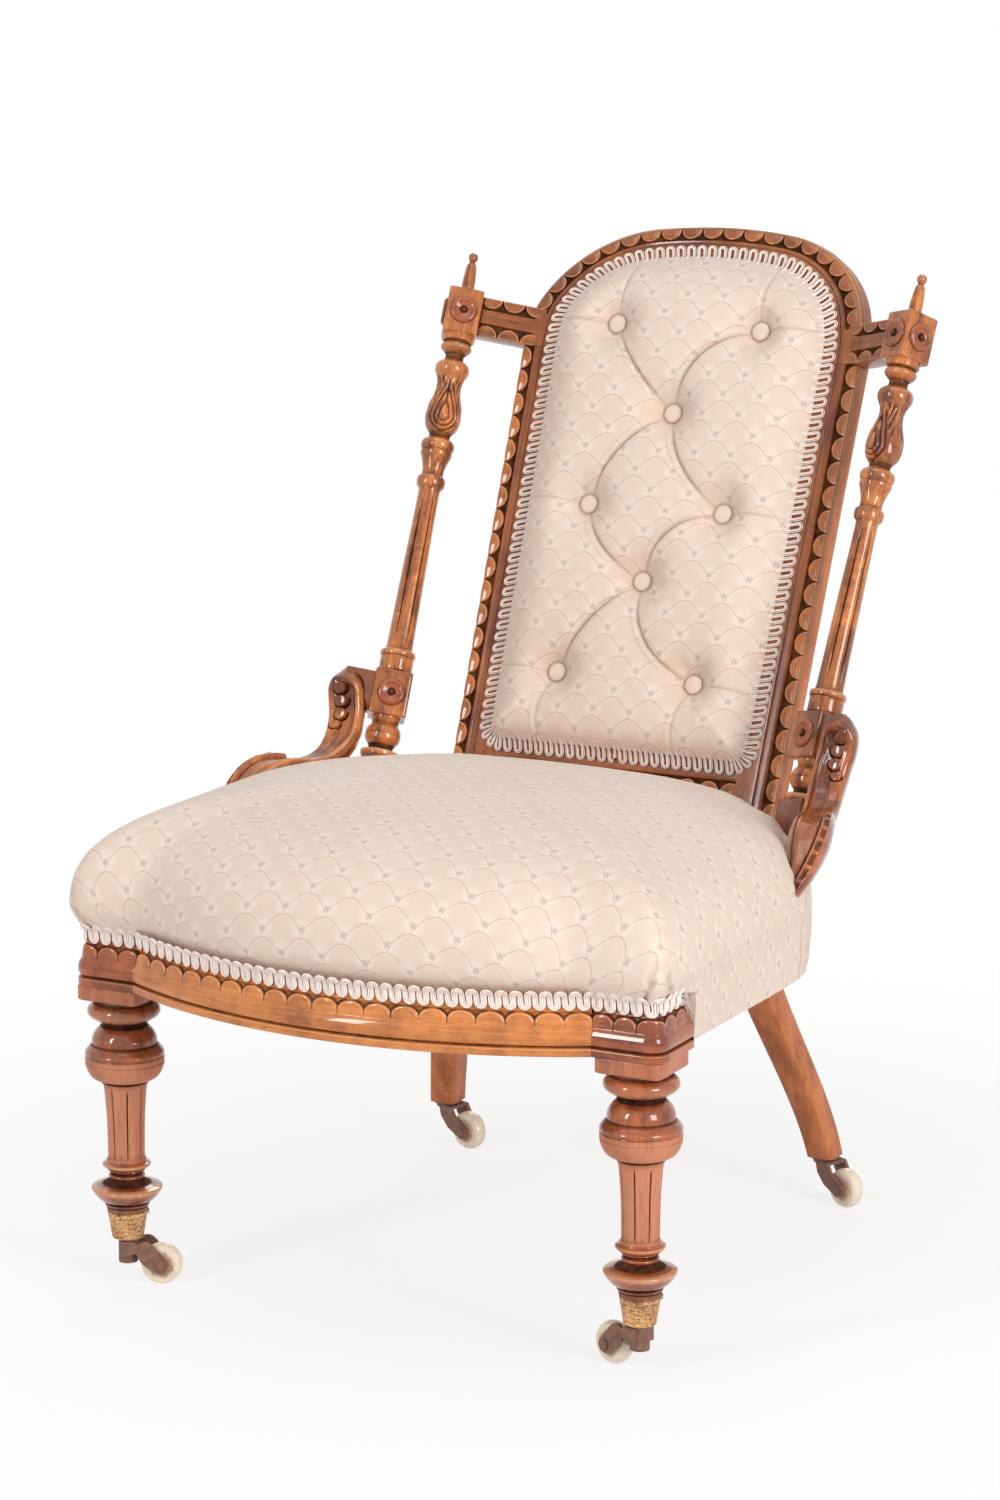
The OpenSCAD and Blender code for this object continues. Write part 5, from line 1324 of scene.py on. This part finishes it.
# From, to, how far it bows to the left, and how deep it is: between buttons, then from buttons to the edge.
FOLDS = [(0, 2, 19, 1.0), (1, 2, 4, 1.0), (2, 3, 12, 1.0), (2, 4, 10, 1.0), (3, 5, 17, 1.0), (4, 5, 10, 1.0),
         (5, 6, 20, 1.0), (5, 7, 7, 1.0), (0, (83, 968), 4, 0.6), (1, (-70, 968), -2, 0.6),
         (0, (150, 874), 0, 0.4), (1, (-150, 876), 2, 0.4), (3, (148, 690), 0, 0.45),
         (4, (-148, 694), 0, 0.45), (6, (146, 520), 0, 0.45), (7, (-146, 528), 0, 0.45),
         (6, (62, 452), 5, 0.6), (7, (-78, 452), 5, 0.6)]
CAP_LINE = [(-3, 7.6), (0, 8.3), (0.9, 8.7), (2.0, 8.6), (3.2, 7.6), (4.0, 5.4), (4.45, 2.8), (4.55, 0.3)]


def fold_gap(points, first, last, bow):
    """Distance of points from a fold, on which side of it they lie, and how far along it: the fold is a
    parabola between its ends that stands bow to the left of them at its middle."""
    run = last - first
    left = np.array([-abs(run[1]), run[0] * np.sign(run[1])]) / np.hypot(*run)
    t = np.linspace(0, 1, 15)[:, None]
    line = first + t * run + left * 4 * bow * t * (1 - t)
    best, side, along = (np.full(points.shape[:-1], value) for value in (np.inf, 0.0, 0.0))
    for k in range(14):
        share, gap, length = from_stretch(points, line[k], line[k + 1] - line[k])
        nearer = length < best
        best = np.where(nearer, length, best)
        side = np.where(nearer, np.sign(gap @ left), side)
        along = np.where(nearer, (k + share) / 14, along)
    return best, side, along


def from_buttons(points):
    """Distance of points from each of the buttons."""
    return np.linalg.norm(points[..., None, :] - BUTTONS, axis=-1)


def padding(points):
    """Height of the padding over the frame's face and how far each point lies in a crease, with painted shade
    added to the crease: a ring round each button, broad shade in its well and faint shade along the valleys.
    The height is the crown, less a valley along each fold and a well at each button, with fine wrinkles that
    run out from the buttons."""
    valley, crease, lip = (np.zeros(points.shape[:-1]) for _ in range(3))
    for first, last, bow, deep in FOLDS:
        to_button = isinstance(last, int)
        end = BUTTONS[last] if to_button else np.array(last, float)
        gap, side, along = fold_gap(points, BUTTONS[first], end, bow)
        slack = 0.45 * deep * np.sin(math.pi * along) if to_button else 0.75 * along
        run_out = 0 if to_button else 0.6 * along
        valley = np.maximum(valley, deep * (1 - slack) * np.exp(-gap / 11))
        crease = np.maximum(crease, (0.55 + 0.45 * deep) * hill(gap, 0, 1.25) * (1 - run_out))
        lip = np.maximum(lip, deep * hill(gap * side, 3.6, 2.4))
    gaps = from_buttons(points)
    nearest, gap = gaps.argmin(-1), gaps.min(-1)
    turn = np.arctan2(points[..., 1] - BUTTONS[nearest, 1], points[..., 0] - BUTTONS[nearest, 0])
    well = np.exp(-(np.clip(gap - 8, 0, None) / 15.5) ** 1.35)
    wrinkle = hill(gap, 19, 9) * (np.cos(turn * 7 + nearest * 2.1) + 0.6 * np.cos(turn * 11 - nearest * 1.3))
    height = CROWN - 0.46 * TUFT * valley + 0.6 * wrinkle
    height = height - 2.8 * crease * (1 - well) + 2.0 * lip * (1 - well) * (1 - crease)
    height = height * (1 - well) + (CROWN - TUFT - 1.8) * well
    # Painted shade: broad in each well round a button and faint along the valleys.
    shade = 0.30 * well * smooth((gap - 7) / 4) + 0.10 * valley**2
    return height, limit(crease * (1 - 0.55 * well) + 0.9 * hill(gap, 9.8, 1.2) + shade)


def eased(count):
    """Steps from 0 to 1 that lie closer together at both ends."""
    t = np.linspace(0, 1, count)
    return 0.55 * t + 0.45 * (0.5 - 0.5 * np.cos(math.pi * t))


def arc(off, radius):
    """Height of a circle at a distance from the upright through its middle, and nought beyond it."""
    return np.sqrt(np.clip(radius**2 - off**2, 0, None))


def pad_grid(columns, rows):
    """Width and length up the slope of the pad's points, from the bottom row up: its outline is the panel's,
    moved in, and the rows fill the height that is there at each width."""
    half, corner = HALF - INSET, PANEL_CORNER - 10
    x = half * (2 * eased(columns) - 1)
    wide = np.abs(x)
    low = PANEL_LOW + INSET - SHOW
    low = low + np.where(wide < half - corner, 0, corner - arc(wide - half + corner, corner))
    high = np.where(wide < (ARCH_R - INSET) * math.cos(ARCH_TURN), TOP_S - ARCH_R + arc(x, ARCH_R - INSET),
                    SPRING + arc(wide - ARCH_X, SHOULDER - INSET))
    s = low + (high - low) * eased(rows)[:, None]
    return pack(x * (stile_x(np.minimum(s, CREST_S)) - INSET) / half, s)


def pad_surface(plane, lift):
    """Points of the pad in the chair's frame from their places on the plane and heights over it."""
    return in_back(plane[..., 0], plane[..., 1], swept(plane[..., 1]) - lift)


def rim_rise(plane, reach, power):
    """Share of the full height near the pad's edge: a curve of this power over the reach, steep at first."""
    outline = panel_line(INSET - SHOW)[0][::6]
    gap = edge_distance(plane, outline, np.zeros(len(outline), bool))
    return 1 - (1 - limit(gap / reach)) ** power


plane = pad_grid(251, 431)
height, crease = padding(plane)
low_edge = smooth((500 - plane[..., 1]) / 45)
rise = rim_rise(plane, 52.0 - 18.0 * low_edge, 2.3 + 0.5 * low_edge)
front = pad_surface(plane, 2 + (height - 2) * rise)
held = np.where(from_buttons(plane).min(-1) < 15, 1.0, 0.25)
held[:6] = held[-6:] = 1.0
held[:, :6] = held[:, -6:] = 1.0
front = front + settled(front, held, (5, 5), 4.0, False) * limit(1.25 - 1.4 * crease)[..., None]
back_plane = plane[:, ::-50]
tall = join(plane, back_plane, axis=1)
# Painted shade near the pad's edge, where it rises from the frame, joins the creases' shade.
dark = carried(limit(crease + 0.12 * (1 - smooth(rise / 0.3))), back_plane.shape[1])
shell = grid(join(front, pad_surface(back_plane, 0.1), axis=1), crease=dark,
             cloth=pack(tall[..., 0] * 1.06, tall[..., 1] * 1.03, 0))
made = piece("back_stuffing_cloth", [shell], DAMASK, ["back_cushion"], sharp=180)

caps = []
for x, s in BUTTONS:
    z, r = (values[:, None] for values in turned_line(CAP_LINE, 4))
    across, up = x + r * np.cos(circle(36)), s + r * np.sin(circle(36))
    caps.append(grid(in_back(across, up, swept(s) - CROWN + TUFT + 2.0 - z), cloth=pack(across, up, 0),
                     # Painted shade on each button's lower edge, where it sinks into the cloth.
                     crease=smooth((1.4 - z) / 1.2)))
piece("covered_buttons", caps, PLAIN_DAMASK, ["back_buttons"], sharp=180)

plane = pad_grid(61, 91)
inside_plane = plane[:, ::-4]
tall = join(plane, inside_plane, axis=1)
bulge = 3.2 * rim_rise(plane, 60.0, 2.0)
shell = grid(join(pad_surface(plane, -25 - bulge), pad_surface(inside_plane, -24.6), axis=1),
             cloth=pack(tall[..., 0], tall[..., 1], 0), crease=0.0)
made = piece("outside_back_cloth", [shell], DAMASK, ["outside_back"], sharp=60)


# Bottom cloth
# Plain woven jute, 0.548 by 0.465 m, that closes the seat from below: cut to the plan of the seat frame and
# tacked, stretched, to the side rails and the seat's back rail. Old cloth sags a little in its middle.

CLOTH_Z, SAG = 280.4, 2.4


def jute():
    """Woven jute: threads crossing at right angles, uneven in width and colour."""
    w = finish("woven_jute")
    place = w.place()
    slub = place.noise(220.0)
    threads = place.axis(0).wave(2600.0).math("MAXIMUM", place.axis(1).wave(2300.0))
    colour = layered((0.20, 0.13, 0.075), ((0.50, 0.37, 0.23), threads * 0.6 + slub * 0.4))
    return coat(w, colour, 0.9, threads + slub * 0.6, 0.0005)


JUTE = jute()
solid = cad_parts["bottom_cloth"]
rim = np.array([solid.matrix_world @ corner.co for corner in solid.data.vertices]) * 1000 + [0, MIDDLE, 0]
rim = rim[rim[:, 2] < rim[:, 2].mean(), :2]
rim = rim[np.argsort(np.arctan2(rim[:, 1] - SEAT_MID[1], rim[:, 0]))]
share = np.array([1, 0.985, 0.93, 0.84, 0.72, 0.58, 0.42, 0.25, 0.1])[:, None]
hanging = SEAT_MID + share[..., None] * (rim - SEAT_MID)
hanging = pack(hanging[..., 0], hanging[..., 1], CLOTH_Z - SAG * (1 - share**2))
under = piece("bottom_cloth_sheet", [grid(hanging, ends="last")], JUTE, ["bottom_cloth"],
              closed=False)


# Inner frame and castors
# Beech rails and braces, jute webbing, steel springs; brass cups with screws, rusty iron forks and cream
# ceramic wheels. These keep the solids' own shapes.


def plain_wood():
    """Unpolished beech: straight soft figure, small flecks and dust."""
    w = finish("plain_beech")
    figure = w.place().stretched(60, 6, 90).noise(1.0, 4.0)
    fleck = w.place().stretched(500, 90, 500).noise(1.0, 2.0).between(0.55, 0.7)
    colour = layered((0.45, 0.28, 0.15), ((0.58, 0.40, 0.24), figure), ((0.25, 0.14, 0.07), fleck * 0.5))
    return coat(w, colour, figure * 0.15 + 0.6, fleck * -1.0, 0.0002)


def spring_wire():
    """Coppered steel wire, darkened in spots."""
    w = finish("coppered_wire")
    spot = w.place().noise(140.0, 4.0).between(0.45, 0.7)
    colour = layered((0.30, 0.16, 0.09), ((0.11, 0.06, 0.04), spot))
    return coat(w, colour, spot * 0.35 + 0.35, spot, 0.0001, Metallic=0.8)


def worn_brass():
    """Lacquered brass rubbed through: gold where it is bright, brown speckle and dark bands elsewhere."""
    w = finish("worn_brass")
    place = w.place()
    speck = place.stretched(1, 1, 1.6).noise(420.0, 4.0, 0.7).between(0.42, 0.62)
    cloud = place.noise(70.0).between(0.38, 0.66)
    band = (place.axis(2) * 1500.0 + cloud * 3.0).math("SINE").between(0.55, 0.95)
    top = place.axis(2).between(0.0655, 0.0690)
    worn = (speck * 0.7 + cloud * 0.35 + band * 0.3 + top * 0.8).math("MINIMUM", 1.0)
    colour = layered((0.90, 0.51, 0.22), ((0.24, 0.10, 0.05), worn))
    return coat(w, colour, worn * 0.3 + 0.3, worn * -1.0, 0.0003, Metallic=0.6)


def rusty_iron():
    """Brown rusted iron: brighter rust in patches, and dark grit."""
    w = finish("rusty_iron")
    rust = w.place().noise(150.0, 5.0, 0.65).between(0.35, 0.68)
    grit = w.place().noise(900.0, 3.0, 0.6)
    colour = layered((0.175, 0.092, 0.068), ((0.31, 0.155, 0.10), rust),
                     ((0.045, 0.03, 0.026), grit.between(0.5, 0.7) * 0.6))
    return coat(w, colour, rust * 0.25 + 0.5, grit + rust * 0.5, 0.0003, Metallic=0.35)


def old_ceramic(name, hub):
    """Glazed cream ceramic: fine crackle, small pits, rust stains, and a ring of rust round the hub."""
    w = finish("old_ceramic_" + name)
    place = w.place()
    from_hub = w.node("ShaderNodeVectorMath", {"operation": "DISTANCE"}, {0: place, 1: hub}, out=1)
    hub_rust = 1 - (from_hub + place.noise(300.0, 4.0, 0.7) * 0.006).between(0.0145, 0.0180)
    crackle = w.node("ShaderNodeTexVoronoi", {"feature": "DISTANCE_TO_EDGE"},
                     {"Vector": place, "Scale": 260.0})
    lines = 1 - crackle.between(0.0, 0.045)
    pit = place.noise(620.0, 2.0).between(0.66, 0.74)
    stain = place.noise(75.0, 4.0, 0.65).between(0.52, 0.78)
    colour = layered((0.86, 0.74, 0.58), ((0.62, 0.36, 0.19), stain * 0.65 + lines * 0.3),
                     ((0.20, 0.10, 0.05), pit * 0.8), ((0.30, 0.115, 0.05), hub_rust * 0.85))
    return coat(w, colour, hub_rust * 0.5 + stain * 0.2 + 0.18, lines * -0.5 - pit, 0.00015,
                **{"Coat Weight": 0.5, "Coat Roughness": 0.1})


def middle_of(node):
    """Middle of a solid's box, in its own frame."""
    return np.mean([tuple(corner) for corner in node.bound_box], axis=0)


WEDGE_WALNUT = walnut("wedge_walnut", (0.27, 0.085, 0.038), (0.13, 0.04, 0.02), (0.02, 0.01, 0.008),
                      (0.5, 0.2, 0.1), 0.22)
FINISHES = [(plain_wood(), ("side_rail", "corner_braces")), (JUTE, ("seat_webbing", "back_webbing")),
            (spring_wire(), ("seat_springs",)), (WEDGE_WALNUT, ("wedge_block", "seat_back_rail")),
            (worn_brass(), ("castor_cup", "castor_screws")),
            (rusty_iron(), ("castor_plate", "castor_fork", "castor_axle"))]
FINISHES += [(old_ceramic(name, middle_of(node)), (name,)) for name, node in sorted(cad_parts.items())
             if name.startswith("castor_wheel")]
for material, starts in FINISHES:
    for name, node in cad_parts.items():
        if name.startswith(starts):
            node.data.materials.clear()
            node.data.materials.append(material)
